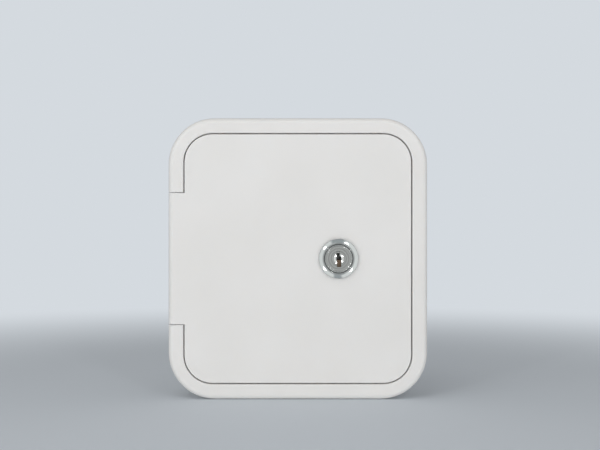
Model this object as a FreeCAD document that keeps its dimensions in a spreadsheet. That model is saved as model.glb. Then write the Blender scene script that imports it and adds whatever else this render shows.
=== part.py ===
import FreeCAD, Part
import math
import os
import Sketcher

# A lockable water inlet hatch for a caravan's wall, in millimetres.
# Each piece is drawn lying face up: x to the right, y up the wall, z out of the wall towards the
# person in front of it, with the wall's plane at z = 0. Standing the pieces up turns z to -Y and y to +Z.

SIZES = {
    # flange and rim
    "frame_wide": 165.0,
    "frame_tall": 179.0,
    "frame_corner": 29.5,
    "frame_proud": 11.0,
    "edge_round": 3.5,
    "rim_wide": 9.7,
    "rim_wall": 2.4,
    "rim_corner": 18.6,
    "lip_round": 1.0,
    "plate_thick": 3.0,
    "rib_thick": 1.6,
    "rim_rib_pitch": 30.0,
    # sealing tape on the flange's back
    "tape_wide": 9.0,
    "tape_thick": 1.0,
    "tape_inset": 1.0,
    "tape_corner": 28.0,
    "tape_hole": 3.4,
    # door
    "door_seam": 0.7,
    "door_thick": 2.6,
    "door_round": 0.7,
    "skirt_thick": 2.0,
    "skirt_deep": 3.4,
    "door_rib_tall": 3.0,
    "door_rib_pitch_up": 24.0,
    "door_rib_pitch_across": 40.0,
    "door_rib_first": -36.0,
    "door_rib_gap": 5.75,
    # hinge
    "tab_tall": 83.6,
    "tab_gap": 0.4,
    "notch_floor": 3.2,
    "pin_radius": 1.25,
    "pin_hold": 11.0,
    "pin_reach": 10.0,
    "pin_fit": 0.05,
    "pin_seat": 0.01,
    "boss_end": 3.0,
    # pan behind the door
    "pan_inset": 8.8,
    "pan_corner": 29.0,
    "pan_wall": 2.5,
    "pan_deep": 45.0,
    "pan_draft": 1.0,
    "pan_floor_round": 2.0,
    "coaming_tall": 5.2,
    # door seal
    "seal_wide": 4.0,
    "seal_gap": 0.3,
    "seal_rib": 1.2,
    "seal_rib_tall": 1.5,
    # mounting screws
    "screw_inset": 11.3,
    "screw_radius": 2.05,
    "screw_hole": 2.3,
    "screw_head": 4.0,
    "screw_head_tall": 2.4,
    "screw_shank": 1.75,
    "screw_shank_long": 2.5,
    "screw_long": 22.0,
    "screw_point": 4.0,
    # sockets behind the pan
    "socket_long": 5.0,
    "socket_wall": 3.0,
    "gusset_reach": 8.0,
    "gusset_thick": 2.0,
    # filler neck and hose tail
    "fill_inset": 38.0,
    "fill_lift": 55.0,
    "neck_radius": 19.5,
    "neck_bore": 16.5,
    "neck_tall": 18.0,
    "neck_flange": 23.0,
    "neck_flange_thick": 2.0,
    "tail_radius": 16.0,
    "tail_bore": 13.5,
    "tail_long": 42.0,
    "tail_land": 14.0,
    "barb_dip": 1.0,
    "collar_long": 6.0,
    "collar_grow": 1.5,
    # vent cup and hose tail
    "vent_up": 36.0,
    "vent_cup": 11.0,
    "vent_cup_tall": 7.0,
    "vent_seat": 8.8,
    "vent_seat_deep": 2.4,
    "vent_bore": 4.3,
    "vent_tail": 6.5,
    "vent_tail_long": 26.0,
    "vent_land": 8.0,
    "vent_dip": 0.6,
    "screen_fit": 0.1,
    "screen_thick": 2.0,
    "screen_slot": 1.6,
    "screen_pitch": 2.9,
    "screen_border": 1.6,
    # filler cap
    "cap_radius": 24.0,
    "cap_thick": 3.0,
    "cap_fit": 1.6,
    "cap_floor_gap": 4.0,
    "cap_round": 1.6,
    "flute_radius": 2.0,
    "flute_sink": 0.9,
    "cap_post": 3.0,
    "cap_post_tall": 2.4,
    "gasket_thick": 1.5,
    "gasket_gap": 0.1,
    "gasket_bore": 14.0,
    # strap of the cap
    "strap_wide": 9.0,
    "strap_thick": 1.8,
    "strap_eye": 7.0,
    "strap_gap": 0.3,
    "strap_rise": 3.2,
    "strap_anchor": 41.0,
    "anchor_eye": 5.5,
    "anchor_boss": 4.5,
    "anchor_tall": 3.8,
    "rivet_head": 5.5,
    "rivet_head_tall": 1.6,
    "rivet_stem": 1.6,
    "strap_screw_radius": 1.5,
    "strap_screw_head": 4.0,
    "strap_screw_head_tall": 2.2,
    "strap_screw_bite": 5.0,
    # lock
    "lock_inset": 46.9,
    "ring_radius": 12.7,
    "ring_thick": 2.4,
    "ring_fall": 0.75,
    "ring_round": 0.6,
    "ring_bevel": 10.2,
    "recess_radius": 8.8,
    "recess_deep": 2.0,
    "barrel_radius": 9.5,
    "barrel_flat": 8.1,
    "barrel_long": 20.6,
    "barrel_fit": 0.1,
    "lock_gasket_radius": 12.2,
    "lock_gasket_thick": 0.6,
    "boss_radius": 16.5,
    "washer_radius": 13.0,
    "washer_thick": 1.0,
    "nut_half": 12.0,
    "nut_thick": 4.0,
    "plug_radius": 6.5,
    "plug_fit": 0.06,
    "plug_face": 8.3,
    "plug_face_thick": 1.5,
    "plug_face_round": 0.4,
    "plug_end_gap": 0.1,
    "dish_radius": 3.3,
    "dish_deep": 0.67,
    "key_top": 3.6,
    "key_notch_up": 4.8,
    "key_notch_deep": 0.6,
    "key_foot": 5.2,
    "key_left": 1.45,
    "key_right": 1.55,
    "key_step": 0.65,
    "key_foot_left": 1.2,
    "key_ledge_up": 1.6,
    "key_ledge_low": 1.0,
    "key_deep": 18.0,
    "wafer_count": 5.0,
    "wafer_first": 3.2,
    "wafer_pitch": 2.4,
    "wafer_thick": 0.9,
    "wafer_wide": 5.6,
    "wafer_slack": 0.08,
    "wafer_window_tall": 6.2,
    "wafer_window_wide": 3.6,
    "wafer_window_low": 1.0,
    "wafer_cut": 0.3,
    # cam behind the door
    "tail_half": 3.2,
    "tail_fit": 0.05,
    "stop_thick": 1.0,
    "stop_radius": 8.0,
    "cam_thick": 2.5,
    "cam_hub": 8.0,
    "cam_half": 5.0,
    "cam_tip": 4.5,
    "cam_long": 33.5,
    "spring_washer_thick": 0.8,
    "spring_washer_radius": 5.0,
    "cam_screw_radius": 2.0,
    "cam_screw_head": 4.2,
    "cam_screw_head_tall": 2.6,
    "cam_screw_bite": 6.0,
    "keeper_gap": 0.3,
    "keeper_reach": 7.0,
    "keeper_half": 9.0,
    "keeper_thick": 3.0,
    "keeper_base": 2.5,
    "keeper_web_tall": 7.0,
    "rivet_up": 4.5,
    "rivet_level": 3.0,
    "rivet_shank": 1.5,
    "rivet_wide": 2.4,
    "rivet_tall": 0.8,
    "rivet_gap": 0.05,
}

QUARTER_TURN = 90.0
FULL_TURN = 360.0
STAND_UP = FreeCAD.Rotation(FreeCAD.Vector(1, 0, 0), QUARTER_TURN)
ORIGIN = -1
ACROSS_AXIS = -1
UP_AXIS = -2
CENTRE = 3
NEAR = 1e-4
BEYOND = 1.0
GRIP_FLUTES = 24
RIM_RIBS_ACROSS = 4
RIM_RIBS_UP = 5
BARBS = 3


class Size:
    """A length or place: its number, and the rule by which it follows from the driving sizes."""

    def __init__(self, rule, value):
        self.rule = rule
        self.value = value

    def joined(self, sign, other, value):
        return Size(f"({self.rule} {sign} {sized(other).rule})", value)

    def __add__(self, other):
        return self.joined("+", other, self.value + sized(other).value)

    def __sub__(self, other):
        return self.joined("-", other, self.value - sized(other).value)

    def __mul__(self, other):
        return self.joined("*", other, self.value * sized(other).value)

    def __truediv__(self, other):
        return self.joined("/", other, self.value / sized(other).value)

    def __neg__(self):
        return self * -1

    def root(self):
        return Size(f"sqrt({self.rule})", self.value**0.5)


def sized(number):
    """Take a bare number as a size of its own."""
    return number if isinstance(number, Size) else Size(f"{number}", float(number))


def fill_sheet(sheet):
    """Write each driving size into the sheet and give its size back under its name."""
    named = {}
    for row, (name, value) in enumerate(SIZES.items(), start=1):
        sheet.set(f"A{row}", name)
        sheet.set(f"B{row}", str(value))
        sheet.setAlias(f"B{row}", name)
        named[name] = Size(f"Sizes.{name}", value)
    return named


doc = FreeCAD.newDocument("inlet_hatch")
sizes = fill_sheet(doc.addObject("Spreadsheet::Sheet", "Sizes"))
doc.recompute()


def size(name):
    return sizes[name]


# Levels above the wall's plane, and places that several pieces share.
front = size("frame_proud")
door_back = front - size("door_thick")
hinge_right = size("edge_round") - size("frame_wide") / 2
hinge_level = front - size("edge_round")
opening_wide = size("frame_wide") - size("rim_wide") * 2
opening_tall = size("frame_tall") - size("rim_wide") * 2
door_wide = opening_wide - size("door_seam") * 2
door_tall = opening_tall - size("door_seam") * 2
door_corner = size("rim_corner") - size("door_seam")
notch_half = size("tab_tall") / 2 + size("tab_gap")
lock_right = opening_wide / 2 - size("lock_inset")
screw_across = opening_wide - size("screw_inset") * 2
screw_up = opening_tall - size("screw_inset") * 2
pan_wide = opening_wide - size("pan_inset") * 2
pan_tall = opening_tall - size("pan_inset") * 2
fill_right = size("fill_inset") - pan_wide / 2
fill_up = size("fill_lift") - pan_tall / 2
pan_floor = -size("pan_deep")
pan_back = pan_floor - size("pan_wall")
seal_middle_wide = pan_wide - size("pan_wall")
seal_middle_tall = pan_tall - size("pan_wall")
seal_middle_corner = size("pan_corner") - size("pan_wall") / 2
neck_top = pan_floor + size("neck_tall")
cap_ceiling = neck_top + size("gasket_gap") + size("gasket_thick")
cap_top = cap_ceiling + size("cap_thick")
strap_under = cap_top + size("strap_gap")
strap_over = strap_under + size("strap_thick")
anchor_top = pan_floor + size("anchor_tall")
ring_under = front + size("lock_gasket_thick")
ring_top = ring_under + size("ring_thick")
recess_floor = ring_top - size("recess_deep")
barrel_end = ring_under - size("barrel_long")
plug_end = barrel_end - size("plug_end_gap")
stop_back = plug_end - size("stop_thick")
cam_back = stop_back - size("cam_thick")
spring_washer_back = cam_back - size("spring_washer_thick")
keeper_under = stop_back + size("keeper_gap")
keeper_over = keeper_under + size("keeper_thick")
pan_slope = Size(f"tan({size('pan_draft').rule} * 1 deg)", math.tan(math.radians(SIZES["pan_draft"])))
keeper_drop = (size("coaming_tall") - keeper_under) * pan_slope
keeper_seat = pan_wide / 2 - size("pan_wall") - keeper_drop - size("pin_seat")
boss_back = door_back - size("door_rib_tall")
washer_back = boss_back - size("washer_thick")


def follow(item, path, value):
    """Tie one property to the driving sizes."""
    item.setExpression(path, sized(value).rule)


def new_body(name):
    body = doc.addObject("PartDesign::Body", name)
    body.Label = name
    return body


def stand(item, right=0, up=0):
    """Stand a finished piece up in the wall, its own axis at a place across and up."""
    item.Placement = FreeCAD.Placement(FreeCAD.Vector(0, 0, 0), STAND_UP)
    follow(item, "Placement.Base.x", right)
    follow(item, "Placement.Base.z", up)
    return item


def plane_of(body, role):
    return next(plane for plane in body.Origin.OriginFeatures if plane.Role == role)


def sketch(body, name, level=0, role="XY_Plane"):
    """Open a sketch on one of the body's planes, raised along the plane's normal."""
    item = body.newObject("Sketcher::SketchObject", name)
    item.AttachmentSupport = (plane_of(body, role), [""])
    item.MapMode = "FlatFace"
    raised = FreeCAD.Vector(0, 0, sized(level).value)
    item.AttachmentOffset = FreeCAD.Placement(raised, FreeCAD.Rotation())
    follow(item, "AttachmentOffset.Base.z", level)
    return item


def constrain(item, kind, *where, value=None):
    """Add one constraint, tied to the driving sizes where it has a value."""
    if value is None:
        return item.addConstraint(Sketcher.Constraint(kind, *where))
    number = item.addConstraint(Sketcher.Constraint(kind, *where, sized(value).value))
    follow(item, f"Constraints[{number}]", value)
    return number


def place_point(item, shape, point, across, up):
    """Hold one point of the sketch at its place."""
    for kind, axis, value in (("DistanceX", UP_AXIS, across), ("DistanceY", ACROSS_AXIS, up)):
        if isinstance(value, Size):
            constrain(item, kind, ORIGIN, 1, shape, point, value=value)
        elif value == 0:
            constrain(item, "PointOnObject", shape, point, axis)
        else:
            constrain(item, kind, ORIGIN, 1, shape, point, value=value)


def draw_circle(item, radius, across=0, up=0):
    centre = FreeCAD.Vector(sized(across).value, sized(up).value, 0)
    normal = FreeCAD.Vector(0, 0, 1)
    circle = item.addGeometry(Part.Circle(centre, normal, sized(radius).value))
    constrain(item, "Radius", circle, value=radius)
    place_point(item, circle, CENTRE, across, up)
    return circle


def draw_outline(item, points):
    """Draw a closed outline of straight edges, each corner held at its place."""
    spots = [FreeCAD.Vector(sized(across).value, sized(up).value, 0) for across, up in points]
    edges = []
    for number, spot in enumerate(spots):
        ahead = spots[(number + 1) % len(spots)]
        edges.append(item.addGeometry(Part.LineSegment(spot, ahead)))
    for number, edge in enumerate(edges):
        constrain(item, "Coincident", edge, 2, edges[(number + 1) % len(edges)], 1)
        place_point(item, edge, 1, *points[number])
    return edges


def draw_box(item, left, right, low, high):
    return draw_outline(item, [(left, low), (right, low), (right, high), (left, high)])


def draw_round_box(item, wide, tall, corner):
    """Draw a box with round corners about the sketch's origin."""
    half_wide, half_tall, radius = sized(wide).value / 2, sized(tall).value / 2, sized(corner).value
    lines, arcs = [], []
    for turn in range(4):
        reach, side = (half_wide, half_tall) if turn % 2 == 0 else (half_tall, half_wide)
        spin = FreeCAD.Rotation(FreeCAD.Vector(0, 0, 1), QUARTER_TURN * turn)
        start = spin.multVec(FreeCAD.Vector(reach, radius - side, 0))
        stop = spin.multVec(FreeCAD.Vector(reach, side - radius, 0))
        middle = spin.multVec(FreeCAD.Vector(reach - radius, side - radius, 0))
        slant = radius * 0.5**0.5
        halfway = middle + spin.multVec(FreeCAD.Vector(slant, slant, 0))
        finish = middle + spin.multVec(FreeCAD.Vector(0, radius, 0))
        lines.append(item.addGeometry(Part.LineSegment(start, stop)))
        arcs.append(item.addGeometry(Part.Arc(stop, halfway, finish)))
    for turn in range(4):
        constrain(item, "Tangent", lines[turn], 2, arcs[turn], 1)
        constrain(item, "Tangent", arcs[turn], 2, lines[(turn + 1) % 4], 1)
    for turn in (0, 2):
        constrain(item, "Vertical", lines[turn])
    for turn in (1, 3):
        constrain(item, "Horizontal", lines[turn])
    for arc in arcs[1:]:
        constrain(item, "Equal", arcs[0], arc)
    constrain(item, "Radius", arcs[0], value=corner)
    constrain(item, "DistanceX", ORIGIN, 1, lines[0], 1, value=sized(wide) / 2)
    constrain(item, "DistanceY", ORIGIN, 1, lines[1], 1, value=sized(tall) / 2)
    constrain(item, "DistanceX", ORIGIN, 1, lines[2], 1, value=sized(wide) / -2)
    constrain(item, "DistanceY", ORIGIN, 1, lines[3], 1, value=sized(tall) / -2)


def draw_flatted_circle(item, radius, flat):
    """Draw a circle about the origin with two upright flats, as on a lock's barrel."""
    reach, half = sized(radius).value, sized(flat).value
    rise = (reach**2 - half**2) ** 0.5
    corners = [FreeCAD.Vector(across, up, 0) for across, up in
               ((half, -rise), (half, rise), (-half, rise), (-half, -rise))]
    right = item.addGeometry(Part.LineSegment(corners[0], corners[1]))
    upper = item.addGeometry(Part.Arc(corners[1], FreeCAD.Vector(0, reach, 0), corners[2]))
    left = item.addGeometry(Part.LineSegment(corners[2], corners[3]))
    lower = item.addGeometry(Part.Arc(corners[3], FreeCAD.Vector(0, -reach, 0), corners[0]))
    for here, ahead in ((right, upper), (upper, left), (left, lower), (lower, right)):
        constrain(item, "Coincident", here, 2, ahead, 1)
    for arc in (upper, lower):
        constrain(item, "Coincident", arc, CENTRE, ORIGIN, 1)
        constrain(item, "Radius", arc, value=radius)
    for side, sign in ((right, 1), (left, -1)):
        constrain(item, "Vertical", side)
        constrain(item, "DistanceX", ORIGIN, 1, side, 1, value=sized(flat) * sign)


def extrude(body, kind, item, name, length, flip=False, both_ways=False, taper=None):
    """Pad or pocket a sketch. A pad goes out of the wall and a pocket into it, unless flipped."""
    feature = body.newObject(f"PartDesign::{kind}", name)
    feature.Profile = item
    feature.Length = sized(length).value
    follow(feature, "Length", length)
    if both_ways:
        feature.SideType = "Symmetric"
    feature.Reversed = flip
    if taper is not None:
        follow(feature, "TaperAngle", taper)
    doc.recompute()
    return feature


def pad(body, item, name, length, **options):
    return extrude(body, "Pad", item, name, length, **options)


def pocket(body, item, name, length, **options):
    """Cut a pocket, and make sure that it took something away."""
    before = body.Shape.Volume
    feature = extrude(body, "Pocket", item, name, length, **options)
    if body.Shape.Volume >= before - NEAR:
        raise ValueError(f"{name} cuts nothing")
    return feature


def spin(body, kind, item, name, about="V_Axis"):
    """Turn a half section once round, as added or removed material."""
    before = body.Shape.Volume if body.Tip else 0.0
    feature = body.newObject(f"PartDesign::{kind}", name)
    feature.Profile = item
    feature.ReferenceAxis = (item, [about])
    feature.Angle = FULL_TURN
    doc.recompute()
    if kind == "Groove" and body.Shape.Volume >= before - NEAR:
        raise ValueError(f"{name} cuts nothing")
    return feature


def turn_section(body, name, points, kind="Revolution"):
    """Turn an outline of (radius, level) points round the body's upright axis."""
    item = sketch(body, f"{name}_section", role="XZ_Plane")
    draw_outline(item, points)
    return spin(body, kind, item, name)


def edges_where(feature, wanted):
    """Name the feature's edges whose bounds pass a test."""
    edges = enumerate(feature.Shape.Edges, start=1)
    return [f"Edge{number}" for number, edge in edges if wanted(edge.BoundBox)]


def round_edges(body, name, base, radius, wanted, kind="Fillet", length="Radius"):
    """Round or chamfer the edges that pass a test."""
    feature = body.newObject(f"PartDesign::{kind}", name)
    feature.Base = (base, edges_where(base, wanted))
    setattr(feature, length, sized(radius).value)
    follow(feature, length, radius)
    doc.recompute()
    return feature


def at_level(level):
    """Pass edges that lie flat at one level."""
    here = sized(level).value
    return lambda box: abs(box.ZMin - here) < NEAR and abs(box.ZMax - here) < NEAR


def at_level_within(level, half_wide):
    """Pass flat edges at one level that lie inside a half width."""
    flat, limit = at_level(level), sized(half_wide).value + NEAR
    return lambda box: flat(box) and box.XMax <= limit and box.XMin >= -limit


def hose_tail(end, radius, land, dip):
    """Outline a spigot through the pan's floor, a plain land, then teeth that ramp up from the end."""
    shoulder = pan_back - size("collar_long")
    foot = shoulder - land
    pitch = (foot - end) / (BARBS + 0.5)
    collar = radius + size("collar_grow")
    points = [(collar, pan_floor), (collar, shoulder), (radius, shoulder), (radius, foot)]
    points.append((radius - dip, foot))
    for tooth in range(BARBS):
        crest = foot - pitch * (tooth + 0.5)
        points += [(radius - dip, crest), (radius, crest)]
    return points + [(radius - dip * 1.5, end), (sized(0), end)]


def make_rim(body):
    """Raise the flange with its round edge, sink the door's opening and hollow the rim's back."""
    outline = sketch(body, "flange_outline")
    draw_round_box(outline, size("frame_wide"), size("frame_tall"), size("frame_corner"))
    block = pad(body, outline, "flange", front)
    rolled = round_edges(body, "rolled_edge", block, size("edge_round"), at_level(front))
    opening = sketch(body, "opening_outline", front)
    draw_round_box(opening, opening_wide, opening_tall, size("rim_corner"))
    sunk = pocket(body, opening, "door_opening", front - size("plate_thick"))
    round_edges(body, "opening_lip", sunk, size("lip_round"), at_level_within(front, opening_wide / 2))
    hollow = sketch(body, "rim_hollow_outline")
    wall = size("rim_wall")
    draw_round_box(hollow, size("frame_wide") - wall * 2, size("frame_tall") - wall * 2,
                   size("frame_corner") - wall)
    draw_round_box(hollow, opening_wide + wall * 2, opening_tall + wall * 2, size("rim_corner") + wall)
    return pocket(body, hollow, "rim_hollow", front - wall, flip=True)


def make_rim_ribs(body):
    """Stiffen the hollow rim with cross ribs, clear of the hinge's side."""
    ribs = sketch(body, "rim_rib_lines")
    half = size("rib_thick") / 2
    overlap = size("rim_wall") / 2
    for sign in (1, -1):
        for number in range(RIM_RIBS_ACROSS):
            middle = size("rim_rib_pitch") * (number - (RIM_RIBS_ACROSS - 1) / 2)
            outer = (size("frame_tall") / 2 - overlap) * sign
            inner = (opening_tall / 2 + overlap) * sign
            draw_box(ribs, middle - half, middle + half, inner, outer)
    for number in range(RIM_RIBS_UP):
        middle = size("rim_rib_pitch") * (number - (RIM_RIBS_UP - 1) / 2)
        draw_box(ribs, opening_wide / 2 + overlap, size("frame_wide") / 2 - overlap,
                 middle - half, middle + half)
    return pad(body, ribs, "rim_ribs", front - size("rim_wall") + size("lip_round") / 2)


def make_pan(body):
    """Sink the pan behind the flange, with the coaming round its mouth."""
    wall = size("pan_wall")
    outside = sketch(body, "pan_outside")
    draw_round_box(outside, pan_wide, pan_tall, size("pan_corner"))
    shell = pad(body, outside, "pan_shell", -pan_back, flip=True, taper=-size("pan_draft"))
    round_edges(body, "pan_back_round", shell, size("pan_floor_round") + wall, at_level(pan_back))
    lip = sketch(body, "coaming_outline")
    draw_round_box(lip, pan_wide, pan_tall, size("pan_corner"))
    pad(body, lip, "coaming", size("coaming_tall"))
    inside = sketch(body, "pan_inside", size("coaming_tall"))
    draw_round_box(inside, pan_wide - wall * 2, pan_tall - wall * 2,
                   size("pan_corner") - wall)
    depth = size("coaming_tall") - pan_floor
    well = pocket(body, inside, "pan_well", depth, taper=-size("pan_draft"))
    return round_edges(body, "pan_floor_corner", well, size("pan_floor_round"), at_level(pan_floor))


def make_hinge_seat(body):
    """Open the rim for the door's tab, and close it below with a floor and two pin bosses."""
    outer = size("frame_wide") / -2
    inner = opening_wide / -2
    overlap = size("rim_wall") / 2
    notch = sketch(body, "tab_notch_outline", front)
    draw_box(notch, outer - BEYOND, inner + size("lip_round"), -notch_half, notch_half)
    pocket(body, notch, "tab_notch", front - size("notch_floor"))
    floor = sketch(body, "tab_floor_outline")
    draw_box(floor, outer + overlap, inner - overlap, -notch_half, notch_half)
    pad(body, floor, "tab_floor", size("notch_floor"))
    blocks = sketch(body, "pin_boss_outlines")
    reach = notch_half + size("pin_hold") + size("boss_end")
    draw_box(blocks, outer + overlap, inner - overlap, notch_half, reach)
    draw_box(blocks, outer + overlap, inner - overlap, -reach, -notch_half)
    pad(body, blocks, "pin_bosses", front - size("rim_wall") + size("lip_round") / 2)
    bore = sketch(body, "pin_bore_outline", role="XZ_Plane")
    draw_circle(bore, size("pin_radius") + size("pin_seat"), hinge_right, hinge_level)
    return pocket(body, bore, "pin_bores", (notch_half + size("pin_hold")) * 2, both_ways=True)


def make_socket(body, name, right, up, radius):
    """Drill the pan's floor for a neck, with a ring behind it that four sloping webs brace."""
    top, foot = pan_back + size("pan_wall") / 2, pan_back - size("socket_long")
    outer = radius + size("socket_wall")
    ring = sketch(body, f"{name}_ring_outline", top)
    draw_circle(ring, outer, right, up)
    pad(body, ring, f"{name}_ring", top - foot, flip=True)
    wide, narrow = outer + size("gusset_reach"), outer - size("socket_wall") / 2
    ways = (("across", "XZ_Plane", -up, right), ("upright", "YZ_Plane", right, up))
    for way, role, level, middle in ways:
        web = sketch(body, f"{name}_{way}_web", level, role)
        draw_outline(web, [(middle - wide, top), (middle + wide, top),
                           (middle + narrow, foot), (middle - narrow, foot)])
        pad(body, web, f"{name}_{way}_brace", size("gusset_thick"), both_ways=True)
    hole = sketch(body, f"{name}_hole_outline", pan_floor)
    draw_circle(hole, radius + size("pin_seat"), right, up)
    pocket(body, hole, f"{name}_hole", size("pan_wall") + size("socket_long"))


def make_filler_neck():
    """Turn the filler neck: its tube and flange in the pan, and its hose tail behind."""
    body = new_body("filler_neck")
    end = pan_back - size("tail_long")
    ledge = pan_floor + size("neck_flange_thick")
    outside = [(sized(0), neck_top), (size("neck_radius"), neck_top), (size("neck_radius"), ledge),
               (size("neck_flange"), ledge), (size("neck_flange"), pan_floor)]
    outside += hose_tail(end, size("tail_radius"), size("tail_land"), size("barb_dip"))
    turn_section(body, "filler_wall", outside)
    turn_section(body, "filler_way", [
        (sized(0), neck_top + BEYOND),
        (size("neck_bore"), neck_top + BEYOND),
        (size("neck_bore"), pan_floor),
        (size("tail_bore"), pan_back - size("pan_wall")),
        (size("tail_bore"), end - BEYOND),
        (sized(0), end - BEYOND),
    ], kind="Groove")
    return stand(body, fill_right, fill_up)


def make_vent_neck():
    """Turn the vent's cup in the pan, with its smaller hose tail behind."""
    body = new_body("vent_neck")
    cup_top = pan_floor + size("vent_cup_tall")
    end = pan_back - size("vent_tail_long")
    outside = [(sized(0), cup_top), (size("vent_cup"), cup_top), (size("vent_cup"), pan_floor)]
    outside += hose_tail(end, size("vent_tail"), size("vent_land"), size("vent_dip"))
    turn_section(body, "vent_wall", outside)
    seat = cup_top - size("vent_seat_deep")
    turn_section(body, "vent_way", [
        (sized(0), cup_top + BEYOND),
        (size("vent_seat"), cup_top + BEYOND),
        (size("vent_seat"), seat),
        (size("vent_seat") - size("screen_border"), seat),
        (size("vent_bore"), pan_floor),
        (size("vent_bore"), end - BEYOND),
        (sized(0), end - BEYOND),
    ], kind="Groove")
    return stand(body, fill_right, size("vent_up"))


def make_keeper():
    """Mould the keeper that the cam turns behind: a base on the pan's wall, a ledge and two webs."""
    body = new_body("keeper")
    edge = pan_wide / 2 - size("pan_wall") - size("keeper_reach")
    face = keeper_seat - size("keeper_base")
    head = keeper_over + size("keeper_web_tall")
    side = sketch(body, "keeper_side", role="XZ_Plane")
    draw_outline(side, [(edge, keeper_under), (keeper_seat, keeper_under), (keeper_seat, head),
                        (face, head), (face, keeper_over), (edge, keeper_over)])
    pad(body, side, "keeper_angle", size("keeper_half") * 2, both_ways=True)
    for name, sign in (("upper", 1), ("lower", -1)):
        middle = (size("keeper_half") - size("rib_thick") / 2) * sign
        web = sketch(body, f"keeper_{name}_web", level=-middle, role="XZ_Plane")
        draw_outline(web, [(edge, keeper_over), (face, keeper_over), (face, head)])
        pad(body, web, f"keeper_{name}_brace", size("rib_thick"), both_ways=True)
    drill_rivet_holes(body, face + size("keeper_base") / 2, size("keeper_base") * 2)
    return stand(body)


def drill_rivet_holes(body, middle, reach):
    """Drill across for the keeper's two rivets."""
    holes = sketch(body, f"{body.Label}_rivet_holes", middle, "YZ_Plane")
    bore = size("rivet_shank") + size("pin_seat")
    for sign in (1, -1):
        draw_circle(holes, bore, size("rivet_up") * sign, -size("rivet_level"))
    pocket(body, holes, f"{body.Label}_rivet_bores", reach, both_ways=True)


def make_keeper_rivets():
    """Turn one rivet through the keeper and the pan's wall, and repeat it below."""
    rivet = doc.addObject("PartDesign::Body", "keeper_rivet")
    inner = keeper_seat - size("keeper_base") - size("rivet_gap")
    outer = pan_wide / 2 + size("rivet_gap")
    wide, tall, shank = size("rivet_wide"), size("rivet_tall"), size("rivet_shank")
    section = sketch(rivet, "rivet_section", -size("rivet_level"))
    draw_outline(section, [
        (inner - tall, 0), (inner - tall, wide * 0.6), (inner - tall / 2, wide), (inner, wide),
        (inner, shank), (outer, shank), (outer, wide), (outer + tall / 2, wide),
        (outer + tall, wide * 0.6), (outer + tall, 0)])
    spin(rivet, "Revolution", section, "rivet", about="H_Axis")
    stand(rivet, 0, size("rivet_up"))
    rivets = doc.addObject("Part::Compound", "keeper_rivets")
    rivets.Label = "keeper_rivets"
    rivets.Links = [rivet, mirrored(rivet, "rivet_below", FreeCAD.Vector(0, 0, 1))]
    return rivets


def make_housing():
    body = new_body("housing")
    make_rim(body)
    make_rim_ribs(body)
    make_pan(body)
    make_hinge_seat(body)
    right = fill_right
    make_socket(body, "filler", right, fill_up, size("tail_radius") + size("collar_grow"))
    make_socket(body, "vent", right, size("vent_up"), size("vent_tail") + size("collar_grow"))
    drill_rivet_holes(body, pan_wide / 2 - size("pan_wall") / 2, size("pan_wall") * 2)
    holes = sketch(body, "screw_hole_outlines", size("plate_thick"))
    for across in (screw_across / 2, screw_across / -2):
        for up in (screw_up / 2, screw_up / -2):
            draw_circle(holes, size("screw_hole"), across, up)
    pocket(body, holes, "screw_holes", size("plate_thick"))
    channel = sketch(body, "tape_channel_outline")
    draw_tape_ring(channel)
    pocket(body, channel, "tape_channel", size("tape_thick"), flip=True)
    boss = sketch(body, "strap_boss_outline", pan_floor)
    draw_circle(boss, size("anchor_boss"), right, fill_up - size("strap_anchor"))
    pad(body, boss, "strap_boss", size("anchor_tall"))
    pilot = sketch(body, "strap_pilot_outline", anchor_top)
    draw_circle(pilot, size("strap_screw_radius") + size("pin_seat"), right,
                fill_up - size("strap_anchor"))
    pocket(body, pilot, "strap_pilot", size("strap_screw_bite"))
    return stand(body)


def draw_tape_ring(item):
    """Draw the ring between the pan and the hollow rim, where the tape lies."""
    grown = size("tape_inset") * 2
    band = size("tape_wide") * 2
    wide, tall = pan_wide + grown, pan_tall + grown
    draw_round_box(item, wide, tall, size("tape_corner"))
    draw_round_box(item, wide + band, tall + band, size("rim_corner") + size("tape_inset"))


def make_tape():
    """Lay the tape in its channel, flush with the flange's back and pierced by the screws."""
    body = new_body("sealing_tape")
    ring = sketch(body, "tape_ring")
    draw_tape_ring(ring)
    pad(body, ring, "tape_band", size("tape_thick"))
    holes = sketch(body, "tape_hole_outlines", size("tape_thick"))
    for across in (screw_across / 2, screw_across / -2):
        for up in (screw_up / 2, screw_up / -2):
            draw_circle(holes, size("tape_hole"), across, up)
    pocket(body, holes, "tape_holes", size("tape_thick"))
    return stand(body)


def make_door():
    """Mould the door with its skirt, ribs, lock boss and hinge tab."""
    body = new_body("door")
    panel = sketch(body, "panel_outline", door_back)
    draw_round_box(panel, door_wide, door_tall, door_corner)
    plate = pad(body, panel, "panel", size("door_thick"))
    round_edges(body, "panel_edge", plate, size("door_round"), at_level(front))
    skirt = sketch(body, "skirt_outline", door_back)
    draw_round_box(skirt, door_wide, door_tall, door_corner)
    thick = size("skirt_thick")
    draw_round_box(skirt, door_wide - thick * 2, door_tall - thick * 2, door_corner - thick)
    pad(body, skirt, "skirt", size("skirt_deep"), flip=True)
    for name, offset in (("inner", -1), ("outer", 1)):
        rib = sketch(body, f"seal_{name}_rib_outline", door_back)
        for edge in (0, 1):
            grow = (size("seal_wide") + size("seal_rib") * (2 * edge)) * offset
            draw_round_box(rib, seal_middle_wide + grow, seal_middle_tall + grow,
                           seal_middle_corner + grow / 2)
        pad(body, rib, f"seal_{name}_rib", size("seal_rib_tall"), flip=True)
    make_door_ribs(body)
    boss = sketch(body, "lock_boss_outline", door_back)
    draw_circle(boss, size("boss_radius"), lock_right)
    pad(body, boss, "lock_boss", size("door_rib_tall"), flip=True)
    make_tab(body)
    cut_lock_hole(body)
    return stand(body)


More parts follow.
